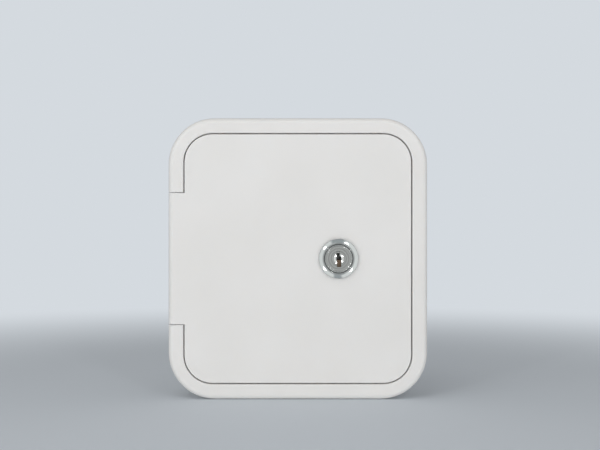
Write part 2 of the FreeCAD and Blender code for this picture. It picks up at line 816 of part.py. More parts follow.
def make_door_ribs(body):
    """Stiffen the panel's back with crossing ribs inside the seal."""
    half = size("rib_thick") / 2
    reach_across = seal_middle_wide / 2 - size("door_rib_gap")
    reach_up = seal_middle_tall / 2 - size("door_rib_gap")
    level = sketch(body, "level_rib_lines", door_back)
    for number in range(-2, 3):
        middle = size("door_rib_pitch_up") * number
        draw_box(level, -reach_across, reach_across, middle - half, middle + half)
    pad(body, level, "level_ribs", size("door_rib_tall"), flip=True)
    upright = sketch(body, "upright_rib_lines", door_back)
    for number in range(3):
        middle = size("door_rib_first") + size("door_rib_pitch_across") * number
        draw_box(upright, middle - half, middle + half, -reach_up, reach_up)
    pad(body, upright, "upright_ribs", size("door_rib_tall"), flip=True)


def make_tab(body):
    """Carry the panel over the rim to the knuckle that forms the rim's rolled edge there."""
    half = size("tab_tall") / 2
    tab = sketch(body, "tab_outline", door_back)
    draw_box(tab, hinge_right, door_wide / -2 + size("skirt_thick"), -half, half)
    pad(body, tab, "hinge_tab", size("door_thick"))
    roll = sketch(body, "knuckle_outline", role="XZ_Plane")
    draw_circle(roll, size("edge_round"), hinge_right, hinge_level)
    pad(body, roll, "knuckle", size("tab_tall"), both_ways=True)
    bore = sketch(body, "knuckle_bore_outline", role="XZ_Plane")
    draw_circle(bore, size("pin_radius") + size("pin_fit"), hinge_right, hinge_level)
    pocket(body, bore, "knuckle_bore", size("tab_tall"), both_ways=True)


def cut_lock_hole(body):
    """Cut the lock's hole with its two flats, square to the panel."""
    hole = sketch(body, "lock_hole_outline", front)
    hole.AttachmentOffset = FreeCAD.Placement(
        FreeCAD.Vector(lock_right.value, 0, front.value), FreeCAD.Rotation())
    follow(hole, "AttachmentOffset.Base.x", lock_right)
    follow(hole, "AttachmentOffset.Base.z", front)
    fit = size("barrel_fit")
    draw_flatted_circle(hole, size("barrel_radius") + fit, size("barrel_flat") + fit)
    pocket(body, hole, "lock_hole", front - boss_back)


def make_door_seal():
    """Run the seal round the door's back, over the coaming."""
    body = new_body("door_seal")
    top = size("coaming_tall") + size("seal_gap")
    ring = sketch(body, "seal_ring", top)
    for grow in (size("seal_wide"), -size("seal_wide")):
        draw_round_box(ring, seal_middle_wide + grow, seal_middle_tall + grow,
                       seal_middle_corner + grow / 2)
    pad(body, ring, "seal_band", door_back - top)
    return stand(body)


def make_hinge_pin(name, sign):
    """Drive one pin through its boss and into the knuckle."""
    pin = doc.addObject("Part::Cylinder", name)
    pin.Label = name
    pin.Radius = size("pin_radius").value
    follow(pin, "Radius", size("pin_radius"))
    follow(pin, "Height", size("pin_hold") + size("tab_gap") + size("pin_reach"))
    start = size("tab_tall") / 2 - size("pin_reach")
    spin_up = FreeCAD.Rotation() if sign > 0 else FreeCAD.Rotation(FreeCAD.Vector(1, 0, 0), 180)
    pin.Placement = FreeCAD.Placement(FreeCAD.Vector(0, 0, 0), spin_up)
    follow(pin, "Placement.Base.x", hinge_right)
    follow(pin, "Placement.Base.y", -hinge_level)
    follow(pin, "Placement.Base.z", start * sign)
    return pin


def make_mounting_screws():
    """Turn one screw and repeat it at the four corners of the flange."""
    under = size("plate_thick")
    tip = under - size("screw_long")
    screw = doc.addObject("PartDesign::Body", "mounting_screw")
    turn_section(screw, "screw", [
        (sized(0), under + size("screw_head_tall")),
        (size("screw_head") * 0.6, under + size("screw_head_tall")),
        (size("screw_head"), under + size("screw_head_tall") / 2),
        (size("screw_head"), under),
        (size("screw_shank"), under),
        (size("screw_shank"), under - size("screw_shank_long")),
        (size("screw_radius"), under - size("screw_shank_long")),
        (size("screw_radius"), tip + size("screw_point")),
        (sized(0), tip),
    ])
    stand(screw, screw_across / 2, screw_up / 2)
    beside = mirrored(screw, "screws_beside", FreeCAD.Vector(1, 0, 0))
    pair = doc.addObject("Part::Compound", "screw_pair")
    pair.Links = [screw, beside]
    below = mirrored(pair, "screws_below", FreeCAD.Vector(0, 0, 1))
    screws = doc.addObject("Part::Compound", "mounting_screws")
    screws.Label = "mounting_screws"
    screws.Links = [pair, below]
    return screws


def mirrored(source, name, normal):
    copy = doc.addObject("Part::Mirroring", name)
    copy.Source = source
    copy.Normal = normal
    return copy


def make_lock_body():
    """Turn the ring head and the barrel, then mill the barrel's two flats."""
    body = new_body("lock_body")
    bore = size("plug_radius") + size("plug_fit")
    turned = turn_section(body, "ring_and_barrel", [
        (bore, recess_floor),
        (size("recess_radius"), recess_floor),
        (size("recess_radius"), ring_top - size("recess_deep") / 2),
        (size("ring_bevel"), ring_top),
        (size("ring_radius"), ring_top - size("ring_fall")),
        (size("ring_radius"), ring_under),
        (size("barrel_radius"), ring_under),
        (size("barrel_radius"), barrel_end),
        (bore, barrel_end),
    ])
    rim = size("ring_radius").value - NEAR
    flat = at_level(ring_top - size("ring_fall"))
    round_edges(body, "ring_crown", turned, size("ring_round"),
                lambda box: flat(box) and box.XMax > rim)
    sides = sketch(body, "barrel_flat_outlines", ring_under)
    reach = size("barrel_radius") + BEYOND
    draw_box(sides, size("barrel_flat"), reach, -reach, reach)
    draw_box(sides, -reach, -size("barrel_flat"), -reach, reach)
    pocket(body, sides, "barrel_flats", size("barrel_long"))
    return stand(body, lock_right)


def make_ring(name, bore, radius, back, thick, right=0, up=0):
    """Make a flat ring about an axis of its own."""
    body = new_body(name)
    ring = sketch(body, f"{name}_outline", back)
    draw_circle(ring, radius)
    draw_circle(ring, bore)
    pad(body, ring, f"{name}_ring", thick)
    return stand(body, right, up)


def make_lock_nut():
    """Make the hexagonal nut that pulls the lock against the door."""
    body = new_body("lock_nut")
    nut = sketch(body, "lock_nut_outline", washer_back - size("nut_thick"))
    half = size("nut_half")
    slant = half / 3**0.5
    draw_outline(nut, [(half, -slant), (half, slant), (sized(0), slant * 2), (-half, slant),
                       (-half, -slant), (sized(0), slant * -2)])
    draw_circle(nut, size("barrel_radius") + size("barrel_fit") / 2)
    pad(body, nut, "lock_nut_body", size("nut_thick"))
    return stand(body, lock_right)


def make_lock_plug():
    """Turn the plug, square its tail, and cut the keyway, the wafer slots and the screw's hole."""
    body = new_body("lock_plug")
    seat = recess_floor + size("plug_fit")
    face = seat + size("plug_face_thick")
    dish, deep = size("dish_radius"), size("dish_deep")
    turned = turn_section(body, "plug", [
        (sized(0), face - deep),
        (dish / 3, face - deep * 0.9),
        (dish * 2 / 3, face - deep * 0.56),
        (dish, face),
        (size("plug_face"), face),
        (size("plug_face"), seat),
        (size("plug_radius"), seat),
        (size("plug_radius"), plug_end),
        (sized(0), plug_end),
    ])
    flat, rim = at_level(face), size("plug_face").value - NEAR
    round_edges(body, "plug_face_edge", turned, size("plug_face_round"),
                lambda box: flat(box) and box.XMax > rim)
    square = sketch(body, "plug_tail_outline", plug_end)
    half = size("tail_half")
    draw_box(square, -half, half, -half, half)
    pad(body, square, "plug_tail", plug_end - cam_back - size("tail_fit"), flip=True)
    keyway = sketch(body, "keyway_outline", face)
    top, foot = size("key_top"), -size("key_foot")
    left, step, right = -size("key_left"), size("key_step"), size("key_right")
    foot_left, ledge_up, ledge_low = -size("key_foot_left"), size("key_ledge_up"), -size("key_ledge_low")
    draw_outline(keyway, [(left, top), (left, ledge_low), (foot_left, ledge_low), (foot_left, foot),
                          (right, foot), (right, ledge_up), (step, ledge_up), (step, top)])
    pocket(body, keyway, "keyway", size("key_deep"))
    notch = sketch(body, "key_notch_outline", face)
    draw_box(notch, left, step, top - BEYOND, size("key_notch_up"))
    pocket(body, notch, "key_notch", size("key_notch_deep"))
    slack = size("wafer_slack")
    slots = sketch(body, "wafer_slot_outlines", role="XZ_Plane")
    for top in wafer_levels():
        draw_box(slots, size("wafer_wide") / -2 - slack, size("wafer_wide") / 2 + slack,
                 top - size("wafer_thick") - slack, top + slack)
    pocket(body, slots, "wafer_slots", size("plug_radius") * 2 + BEYOND, both_ways=True)
    hole = sketch(body, "tail_hole_outline", cam_back)
    draw_circle(hole, size("cam_screw_radius") + size("pin_seat"))
    pocket(body, hole, "tail_hole", size("cam_screw_bite") + BEYOND, flip=True)
    return stand(body, lock_right)


def wafer_levels():
    """Give the front level of each wafer in the plug."""
    first = recess_floor - size("wafer_first")
    return [first - size("wafer_pitch") * number for number in range(int(size("wafer_count").value))]


def make_wafers():
    """Stamp the wafers, flush with the plug, each with a window that leaves a bar in the keyway."""
    body = new_body("tumbler_wafers")
    tops = wafer_levels()
    for number, top in enumerate(tops):
        disc = sketch(body, f"wafer_{number}_outline", top - size("wafer_thick"))
        reach = size("plug_radius") - size("wafer_slack")
        draw_flatted_circle(disc, reach, size("wafer_wide") / 2)
        low = -size("wafer_window_low") - size("wafer_cut") * (number % 3)
        half = size("wafer_window_wide") / 2
        draw_box(disc, -half, half, low, low + size("wafer_window_tall"))
        pad(body, disc, f"wafer_{number}", size("wafer_thick"))
    return stand(body, lock_right)


def make_stop_washer():
    """Make the washer that limits the plug's turn, on the square tail."""
    body = new_body("stop_washer")
    disc = sketch(body, "stop_washer_outline", stop_back)
    draw_circle(disc, size("stop_radius"))
    half = size("tail_half") + size("tail_fit")
    draw_box(disc, -half, half, -half, half)
    pad(body, disc, "stop_washer_disc", size("stop_thick"))
    return stand(body, lock_right)


def make_cam():
    """Make the cam: a hub on the square tail and an arm that hangs down while unlocked."""
    body = new_body("cam")
    hub = sketch(body, "cam_hub_outline", cam_back)
    draw_circle(hub, size("cam_hub"))
    pad(body, hub, "cam_hub_disc", size("cam_thick"))
    arm = sketch(body, "cam_arm_outline", cam_back)
    side, tip, end = size("cam_half"), size("cam_tip"), -size("cam_long")
    draw_outline(arm, [(side, sized(0)), (-side, sized(0)), (-tip, end), (tip, end)])
    bar = pad(body, arm, "cam_arm", size("cam_thick"))
    near_end = size("cam_long").value - NEAR
    round_edges(body, "cam_arm_end", bar, size("cam_tip") * 0.8,
                lambda box: box.YMax < -near_end and box.ZLength > size("cam_thick").value - NEAR)
    hole = sketch(body, "cam_hole_outline", stop_back)
    half = size("tail_half") + size("tail_fit")
    draw_box(hole, -half, half, -half, half)
    pocket(body, hole, "cam_hole", size("cam_thick"))
    return stand(body, lock_right)


def make_cam_screw():
    """Turn the screw that holds the cam on the plug's tail."""
    body = new_body("cam_screw")
    under = spring_washer_back
    head = under - size("cam_screw_head_tall")
    turn_section(body, "cam_screw_turned", [
        (sized(0), cam_back + size("cam_screw_bite")),
        (size("cam_screw_radius"), cam_back + size("cam_screw_bite")),
        (size("cam_screw_radius"), under),
        (size("cam_screw_head"), under),
        (size("cam_screw_head"), under - size("cam_screw_head_tall") / 2),
        (size("cam_screw_head") * 0.6, head),
        (sized(0), head),
    ])
    return stand(body, lock_right)


def make_fill_cap():
    """Turn the cap over the neck, with its post for the strap and its grip of upright flutes."""
    body = new_body("fill_cap")
    outer = size("cap_radius")
    inner = size("neck_radius") + size("cap_fit")
    foot = pan_floor + size("cap_floor_gap")
    turned = turn_section(body, "cap_shell", [
        (sized(0), cap_ceiling),
        (inner, cap_ceiling),
        (inner, foot),
        (outer, foot),
        (outer, cap_top),
        (size("cap_post"), cap_top),
        (size("cap_post"), cap_top + size("cap_post_tall")),
        (sized(0), cap_top + size("cap_post_tall")),
    ])
    limit = outer.value - NEAR
    flat = at_level(cap_top)
    round_edges(body, "cap_shoulder", turned, size("cap_round"),
                lambda box: flat(box) and box.XMax > limit)
    flute = sketch(body, "grip_flute_outline", foot)
    draw_circle(flute, size("flute_radius"), outer + size("flute_radius") - size("flute_sink"))
    cut = pocket(body, flute, "grip_flute", cap_top - foot, flip=True)
    ring = body.newObject("PartDesign::PolarPattern", "grip_flutes")
    ring.Originals = [cut]
    ring.Axis = (plane_of(body, "Z_Axis"), [""])
    ring.Angle = FULL_TURN
    ring.Occurrences = GRIP_FLUTES
    body.Tip = ring
    doc.recompute()
    hole = sketch(body, "rivet_hole_outline", cap_top + size("cap_post_tall"))
    draw_circle(hole, size("rivet_stem") + size("pin_seat"))
    pocket(body, hole, "rivet_hole", size("cap_post_tall") + size("cap_thick") / 2)
    return stand(body, fill_right, fill_up)


def make_strap_rivet():
    """Turn the push rivet whose head keeps the strap on the cap's post."""
    body = new_body("strap_rivet")
    under = cap_top + size("cap_post_tall")
    turn_section(body, "strap_rivet_turned", [
        (sized(0), under + size("rivet_head_tall")),
        (size("rivet_head") * 0.7, under + size("rivet_head_tall")),
        (size("rivet_head"), under + size("rivet_head_tall") / 2),
        (size("rivet_head"), under),
        (size("rivet_stem"), under),
        (size("rivet_stem"), cap_top - size("cap_thick") / 2),
        (sized(0), cap_top - size("cap_thick") / 2),
    ])
    return stand(body, fill_right, fill_up)


def make_cap_strap():
    """Bend the strap from the cap's post over the cap's edge and down to its boss in the pan."""
    body = new_body("cap_strap")
    thick = size("strap_thick")
    edge = size("cap_radius") + size("cap_round")
    anchor = size("strap_anchor")
    low = anchor_top + size("strap_gap") / 3
    bend = size("strap_rise")
    side = sketch(body, "strap_side", role="YZ_Plane")
    draw_outline(side, [
        (sized(0), strap_under),
        (sized(0), strap_over),
        (-(edge + thick - bend), strap_over),
        (-(edge + thick * 1.5), strap_over - bend),
        (-(edge + thick * 1.5), low + thick + bend),
        (-(edge + thick * 1.5 + bend), low + thick),
        (-anchor, low + thick),
        (-anchor, low),
        (-(edge + bend), low),
        (-(edge + thick / 2), low + bend),
        (-(edge + thick / 2), strap_under - bend),
        (-(edge + thick / 2 - bend), strap_under),
    ])
    pad(body, side, "strap_web", size("strap_wide"), both_ways=True)
    for name, radius, level, across in (("cap_eye", size("strap_eye"), strap_under, sized(0)),
                                        ("anchor_eye", size("anchor_eye"), low, -anchor)):
        eye = sketch(body, f"{name}_outline", level)
        draw_circle(eye, radius, 0, across)
        pad(body, eye, name, thick)
    for name, radius, level, across in (
            ("post_hole", size("cap_post") + size("strap_gap"), strap_over, sized(0)),
            ("screw_hole", size("strap_screw_radius") + size("strap_gap"), low + thick, -anchor)):
        hole = sketch(body, f"{name}_outline", level)
        draw_circle(hole, radius, 0, across)
        pocket(body, hole, name, thick)
    return stand(body, fill_right, fill_up)


def make_strap_screw():
    """Turn the screw that holds the strap's other end on its boss."""
    body = new_body("strap_screw")
    under = anchor_top + size("strap_gap") / 3 + size("strap_thick") + size("strap_gap") / 3
    head = under + size("strap_screw_head_tall")
    turn_section(body, "strap_screw_turned", [
        (sized(0), head),
        (size("strap_screw_head") * 0.6, head),
        (size("strap_screw_head"), under + size("strap_screw_head_tall") / 2),
        (size("strap_screw_head"), under),
        (size("strap_screw_radius"), under),
        (size("strap_screw_radius"), anchor_top - size("strap_screw_bite")),
        (sized(0), anchor_top - size("strap_screw_bite")),
    ])
    return stand(body, fill_right, fill_up - size("strap_anchor"))


def make_vent_screen():
    """Mould the round screen that drops into the vent's cup, with upright slots."""
    body = new_body("vent_screen")
    back = pan_floor + size("vent_cup_tall") - size("vent_seat_deep")
    radius = size("vent_seat") - size("screen_fit")
    disc = sketch(body, "screen_outline", back)
    draw_circle(disc, radius)
    pad(body, disc, "screen_disc", size("screen_thick"))
    slots = sketch(body, "screen_slot_outlines", back + size("screen_thick"))
    clear = radius - size("screen_border")
    half = size("screen_slot") / 2
    for number in range(-2, 3):
        middle = size("screen_pitch") * number
        far = size("screen_pitch") * abs(number) + half
        reach = (clear * clear - far * far).root()
        draw_box(slots, middle - half, middle + half, -reach, reach)
    pocket(body, slots, "screen_slots", size("screen_thick"))
    return stand(body, fill_right, size("vent_up"))


def make_all():
    """Build every piece, and give them back in a list."""
    lock = lock_right
    cap = (fill_right, fill_up)
    return [
        make_housing(),
        make_tape(),
        make_mounting_screws(),
        make_hinge_pin("hinge_pin_upper", 1),
        make_hinge_pin("hinge_pin_lower", -1),
        make_filler_neck(),
        make_vent_neck(),
        make_vent_screen(),
        make_strap_screw(),
        make_keeper(),
        make_keeper_rivets(),
        make_door(),
        make_door_seal(),
        make_lock_body(),
        make_ring("lock_gasket", size("barrel_radius") + size("barrel_fit"), size("lock_gasket_radius"),
                  front, size("lock_gasket_thick"), lock),
        make_ring("lock_washer", size("barrel_radius") + size("barrel_fit"), size("washer_radius"),
                  washer_back, size("washer_thick"), lock),
        make_lock_nut(),
        make_lock_plug(),
        make_wafers(),
        make_stop_washer(),
        make_cam(),
        make_ring("cam_washer", size("cam_screw_radius") + size("tail_fit"), size("spring_washer_radius"),
                  spring_washer_back, size("spring_washer_thick"), lock),
        make_cam_screw(),
        make_fill_cap(),
        make_ring("cap_gasket", size("gasket_bore"), size("neck_radius"), neck_top + size("gasket_gap"),
                  size("gasket_thick"), *cap),
        make_strap_rivet(),
        make_cap_strap(),
    ]


def check(pieces):
    """Make sure that nothing failed and every piece is sound."""
    for item in doc.Objects:
        if "Invalid" in item.State or "Error" in item.State:
            raise ValueError(f"{item.Name} is {item.State}")
    for piece in pieces:
        if piece.Shape.isNull() or not piece.Shape.isValid():
            raise ValueError(f"{piece.Label} has no sound shape")


pieces = make_all()
doc.recompute()
check(pieces)
os.makedirs("parts", exist_ok=True)
for piece in pieces:
    piece.Shape.exportStep(f"parts/{piece.Label}.step")
    print(f"{piece.Label}: {len(piece.Shape.Solids)} solids, {piece.Shape.Volume:.0f} mm3")
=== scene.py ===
"""Dress a lockable water inlet hatch and stand it in a plain studio."""
import logging
import math
from collections.abc import Callable, Sequence
from dataclasses import dataclass, field
from enum import Enum

import bmesh
import bpy
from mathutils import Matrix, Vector


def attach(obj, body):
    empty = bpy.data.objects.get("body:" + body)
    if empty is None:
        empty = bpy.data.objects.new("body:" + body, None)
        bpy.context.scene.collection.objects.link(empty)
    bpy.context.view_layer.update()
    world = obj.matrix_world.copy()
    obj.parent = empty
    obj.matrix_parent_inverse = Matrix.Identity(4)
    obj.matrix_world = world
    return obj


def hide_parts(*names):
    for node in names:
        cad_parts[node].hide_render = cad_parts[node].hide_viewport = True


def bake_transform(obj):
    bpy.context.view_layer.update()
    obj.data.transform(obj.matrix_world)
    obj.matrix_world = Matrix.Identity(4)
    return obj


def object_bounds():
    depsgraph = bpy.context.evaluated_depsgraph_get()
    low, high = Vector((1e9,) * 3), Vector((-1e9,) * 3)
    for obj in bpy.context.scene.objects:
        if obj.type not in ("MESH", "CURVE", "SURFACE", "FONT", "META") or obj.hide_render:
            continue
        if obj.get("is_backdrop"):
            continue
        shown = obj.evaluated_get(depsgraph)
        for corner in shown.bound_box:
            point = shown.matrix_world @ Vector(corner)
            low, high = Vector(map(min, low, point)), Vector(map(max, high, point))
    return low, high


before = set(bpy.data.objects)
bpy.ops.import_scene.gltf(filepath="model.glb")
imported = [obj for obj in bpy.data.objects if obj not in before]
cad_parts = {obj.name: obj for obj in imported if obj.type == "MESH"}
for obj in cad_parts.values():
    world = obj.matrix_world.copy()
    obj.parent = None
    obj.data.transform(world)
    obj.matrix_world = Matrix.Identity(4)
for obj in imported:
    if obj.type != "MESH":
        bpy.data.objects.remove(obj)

MM = 0.001
TURN = 2 * math.pi

Colour = tuple[float, float, float]
Point = tuple[float, float]
Range = tuple[float, float]
Radii = Callable[[float, float, float], float]
Piece = bpy.types.Object
Socket = bpy.types.NodeSocket

log = logging.getLogger("hatch")


class Body(Enum):
    """The moving bodies of the hatch."""

    FRAME = "hatch_frame"
    DOOR = "hatch_door"
    CORE = "lock_core"
    TETHER = "cap_tether"
    CAP = "filler_cap"


def spot(right: float, up: float, level: float) -> Vector:
    """Place a point.

    Args:
        right: millimetres to the right of the hatch's middle.
        up: millimetres above its middle.
        level: millimetres out of the wall, towards the person in front.

    Returns:
        The point in metres, in the frame of the model.
    """
    return Vector((right * MM, -level * MM, up * MM))


def smooth_step(value: float, low: float, high: float) -> float:
    """Rise smoothly from 0 to 1 between two limits.

    Args:
        value: the number to judge.
        low: where the rise starts.
        high: where it ends.

    Returns:
        A share from 0 to 1.
    """
    share = min(max((value - low) / (high - low), 0.0), 1.0)
    return share * share * (3 - 2 * share)


def between(here: Sequence[float], there: Sequence[float], share: float) -> Point:
    """Go part of the way from one point to another.

    Args:
        here: the first point; only its first two numbers count.
        there: the last point, likewise.
        share: how far to go, from 0 to 1.

    Returns:
        The point there.
    """
    return (here[0] + (there[0] - here[0]) * share, here[1] + (there[1] - here[1]) * share)


# Meshes


class Draft:
    """Corners and faces of a mesh in the making."""

    def __init__(self) -> None:
        """Start with nothing."""
        self.corners: list[Vector] = []
        self.faces: list[tuple[int, ...]] = []

    def add(self, points: Sequence[Vector]) -> list[int]:
        """Add corners.

        Args:
            points: their places in metres.

        Returns:
            The corners' numbers.
        """
        start = len(self.corners)
        self.corners.extend(points)
        return list(range(start, len(self.corners)))

    def skin(self, rows: Sequence[Sequence[int]], round_rows: bool = True,
             round_columns: bool = False) -> None:
        """Lay four-sided faces between rows of corners.

        Args:
            rows: the corners' numbers, as many in each row.
            round_rows: join each row's last corner to its first.
            round_columns: join the last row to the first.
        """
        count = len(rows[0])
        across = count if round_rows else count - 1
        along = len(rows) if round_columns else len(rows) - 1
        for row in range(along):
            here, ahead = rows[row], rows[(row + 1) % len(rows)]
            for column in range(across):
                beside = (column + 1) % count
                face = (here[column], here[beside], ahead[beside], ahead[column])
                kept = tuple(dict.fromkeys(face))
                if len(kept) > 2:
                    self.faces.append(kept)

    def capped(self, rows: Sequence[Sequence[int]]) -> None:
        """Lay faces between rows of corners, and close both ends.

        Args:
            rows: the corners' numbers, as many in each row.
        """
        self.skin(rows)
        self.faces += [tuple(rows[0]), tuple(reversed(rows[-1]))]

    def turned(self, rings: Sequence[Point], right: float = 0.0, up: float = 0.0,
               segments: int = 96, shape: Radii | None = None, closed: bool = False) -> None:
        """Turn an outline round an axis that points out of the wall.

        Args:
            rings: the outline as (radius, level) in millimetres; a radius of 0 closes the surface.
            right: the axis's place across.
            up: the axis's place above the middle.
            segments: how many faces go round.
            shape: gives the radius from the outline's radius, the level and the angle.
            closed: join the last ring to the first.
        """
        rows = []
        for radius, level in rings:
            if radius == 0:
                rows.append(self.add([spot(right, up, level)]) * segments)
                continue
            points = []
            for number in range(segments):
                angle = TURN * number / segments
                reach = shape(radius, level, angle) if shape else radius
                points.append(spot(right + reach * math.cos(angle),
                                   up + reach * math.sin(angle), level))
            rows.append(self.add(points))
        self.skin(rows, round_columns=closed)

    def make(self, name: str, sharp_degrees: float = 35.0) -> Piece:
        """Turn the draft into a shown object.

        Args:
            name: the piece's name.
            sharp_degrees: edges that bend more than this stay sharp.

        Returns:
            The new object.
        """
        mesh = bpy.data.meshes.new(name)
        mesh.from_pydata(self.corners, [], self.faces)
        mesh.validate()
        settle(mesh, sharp_degrees)
        piece = bpy.data.objects.new(name, mesh)
        bpy.context.scene.collection.objects.link(piece)
        return piece


def settle(mesh: bpy.types.Mesh, sharp_degrees: float) -> None:
    """Turn a mesh's faces outwards and shade it.

    Args:
        mesh: the mesh to settle.
        sharp_degrees: edges that bend more than this stay sharp.
    """
    loose = bmesh.new()
    loose.from_mesh(mesh)
    bmesh.ops.recalc_face_normals(loose, faces=loose.faces)
    loose.to_mesh(mesh)
    loose.free()
    mesh.shade_smooth()
    mesh.set_sharp_from_angle(angle=math.radians(sharp_degrees))


def carve(piece: Piece, cutter: Piece) -> None:
    """Cut one mesh out of another and drop the cutter.

    Args:
        piece: the object that is cut.
        cutter: the object whose space is taken away.
    """
    cut = piece.modifiers.new("cut", "BOOLEAN")
    cut.object = cutter
    cut.solver = "EXACT"
    shown = piece.evaluated_get(bpy.context.evaluated_depsgraph_get())
    cut_mesh = bpy.data.meshes.new_from_object(shown)
    piece.modifiers.clear()
    old, name = piece.data, piece.data.name
    piece.data = cut_mesh
    bpy.data.meshes.remove(old)
    cut_mesh.name = name
    bpy.data.objects.remove(cutter)
    settle(piece.data, 30.0)


def weld(piece: Piece) -> None:
    """Join a mesh's corners that lie on each other.

    Args:
        piece: the object.
    """
    loose = bmesh.new()
    loose.from_mesh(piece.data)
    bmesh.ops.remove_doubles(loose, verts=loose.verts, dist=0.01 * MM)
    bmesh.ops.recalc_face_normals(loose, faces=loose.faces)
    loose.to_mesh(piece.data)
    loose.free()


def soften(piece: Piece, width_mm: float, segments: int = 2, above_degrees: float = 40) -> None:
    """Break a mesh's sharp edges.

    Args:
        piece: the object.
        width_mm: the width of the rounding.
        segments: how many faces make the rounding.
        above_degrees: edges that bend less than this are left.
    """
    bevel = piece.modifiers.new("soft_edges", "BEVEL")
    bevel.width = width_mm * MM
    bevel.segments = segments
    bevel.limit_method = "ANGLE"
    bevel.angle_limit = math.radians(above_degrees)


def joined(name: str, pieces: Sequence[Piece]) -> Piece:
    """Make one object of several.

    Args:
        name: the new piece's name.
        pieces: the objects, which are dropped.

    Returns:
        The new object.
    """
    draft = Draft()
    for piece in pieces:
        place, mesh = piece.matrix_world, piece.data
        numbers = draft.add([place @ corner.co for corner in mesh.vertices])
        draft.faces.extend(tuple(numbers[corner] for corner in face.vertices)
                           for face in mesh.polygons)
        bpy.data.objects.remove(piece)
    return draft.make(name, 30.0)


# Finishes


class Graph:
    """A tree of shader nodes, with short calls that add and join them."""

    def __init__(self, tree: bpy.types.NodeTree) -> None:
        """Work on a tree.

        Args:
            tree: the tree that nodes are added to.
        """
        self.tree = tree

    def node(self, kind: str, **settings: object) -> bpy.types.Node:
        """Add a node.

        Args:
            kind: Blender's name for the node.
            settings: properties to set on it.

        Returns:
            The new node.
        """
        item = self.tree.nodes.new(kind)
        for key, value in settings.items():
            setattr(item, key, value)
        return item

    def join(self, source: Socket, target: Socket) -> None:
        """Link two sockets."""
        self.tree.links.new(source, target)

    def sum(self, operation: str, *values: float | Socket) -> Socket:
        """Work out a number.

        Args:
            operation: Blender's name for the sum.
            values: numbers or sockets.

        Returns:
            The result.
        """
        item = self.node("ShaderNodeMath", operation=operation)
        for socket, value in zip(item.inputs, values):
            if isinstance(value, (int, float)):
                socket.default_value = value
            else:
                self.join(value, socket)
        return item.outputs[0]

    def spread(self, value: Socket, low: float, high: float, first: float, last: float,
               smooth: bool = False) -> Socket:
        """Map a range of values to another.

        Args:
            value: the value to map.
            low: the start of its range.
            high: the end of its range.
            first: what the start becomes.
            last: what the end becomes.
            smooth: ease in and out at both ends.

        Returns:
            The mapped value.
        """
        item = self.node("ShaderNodeMapRange")
        if smooth:
            item.interpolation_type = "SMOOTHSTEP"
        self.join(value, item.inputs["Value"])
        for key, number in (("From Min", low), ("From Max", high),
                            ("To Min", first), ("To Max", last)):
            item.inputs[key].default_value = number
        return item.outputs["Result"]

    def mixed(self, share: Socket, first: Colour | Socket, last: Colour | Socket) -> Socket:
        """Blend two colours.

        Args:
            share: how much of the last one there is.
            first: a colour or a socket.
            last: a colour or a socket.

        Returns:
            The blended colour.
        """
        item = self.node("ShaderNodeMix", data_type="RGBA")
        self.join(share, item.inputs[0])
        for socket, colour in ((item.inputs[6], first), (item.inputs[7], last)):
            if isinstance(colour, tuple):
                socket.default_value = (*colour, 1.0)
            else:
                self.join(colour, socket)
        return item.outputs[2]

    def mixed_shaders(self, share: Socket, first: Socket, last: Socket) -> Socket:
        """Blend two shaders.

        Args:
            share: how much of the last one there is.
            first: a shader's output.
            last: a shader's output.

        Returns:
            The blended shader.
        """
        item = self.node("ShaderNodeMixShader")
        for socket, source in zip(item.inputs, (share, first, last)):
            self.join(source, socket)
        return item.outputs[0]


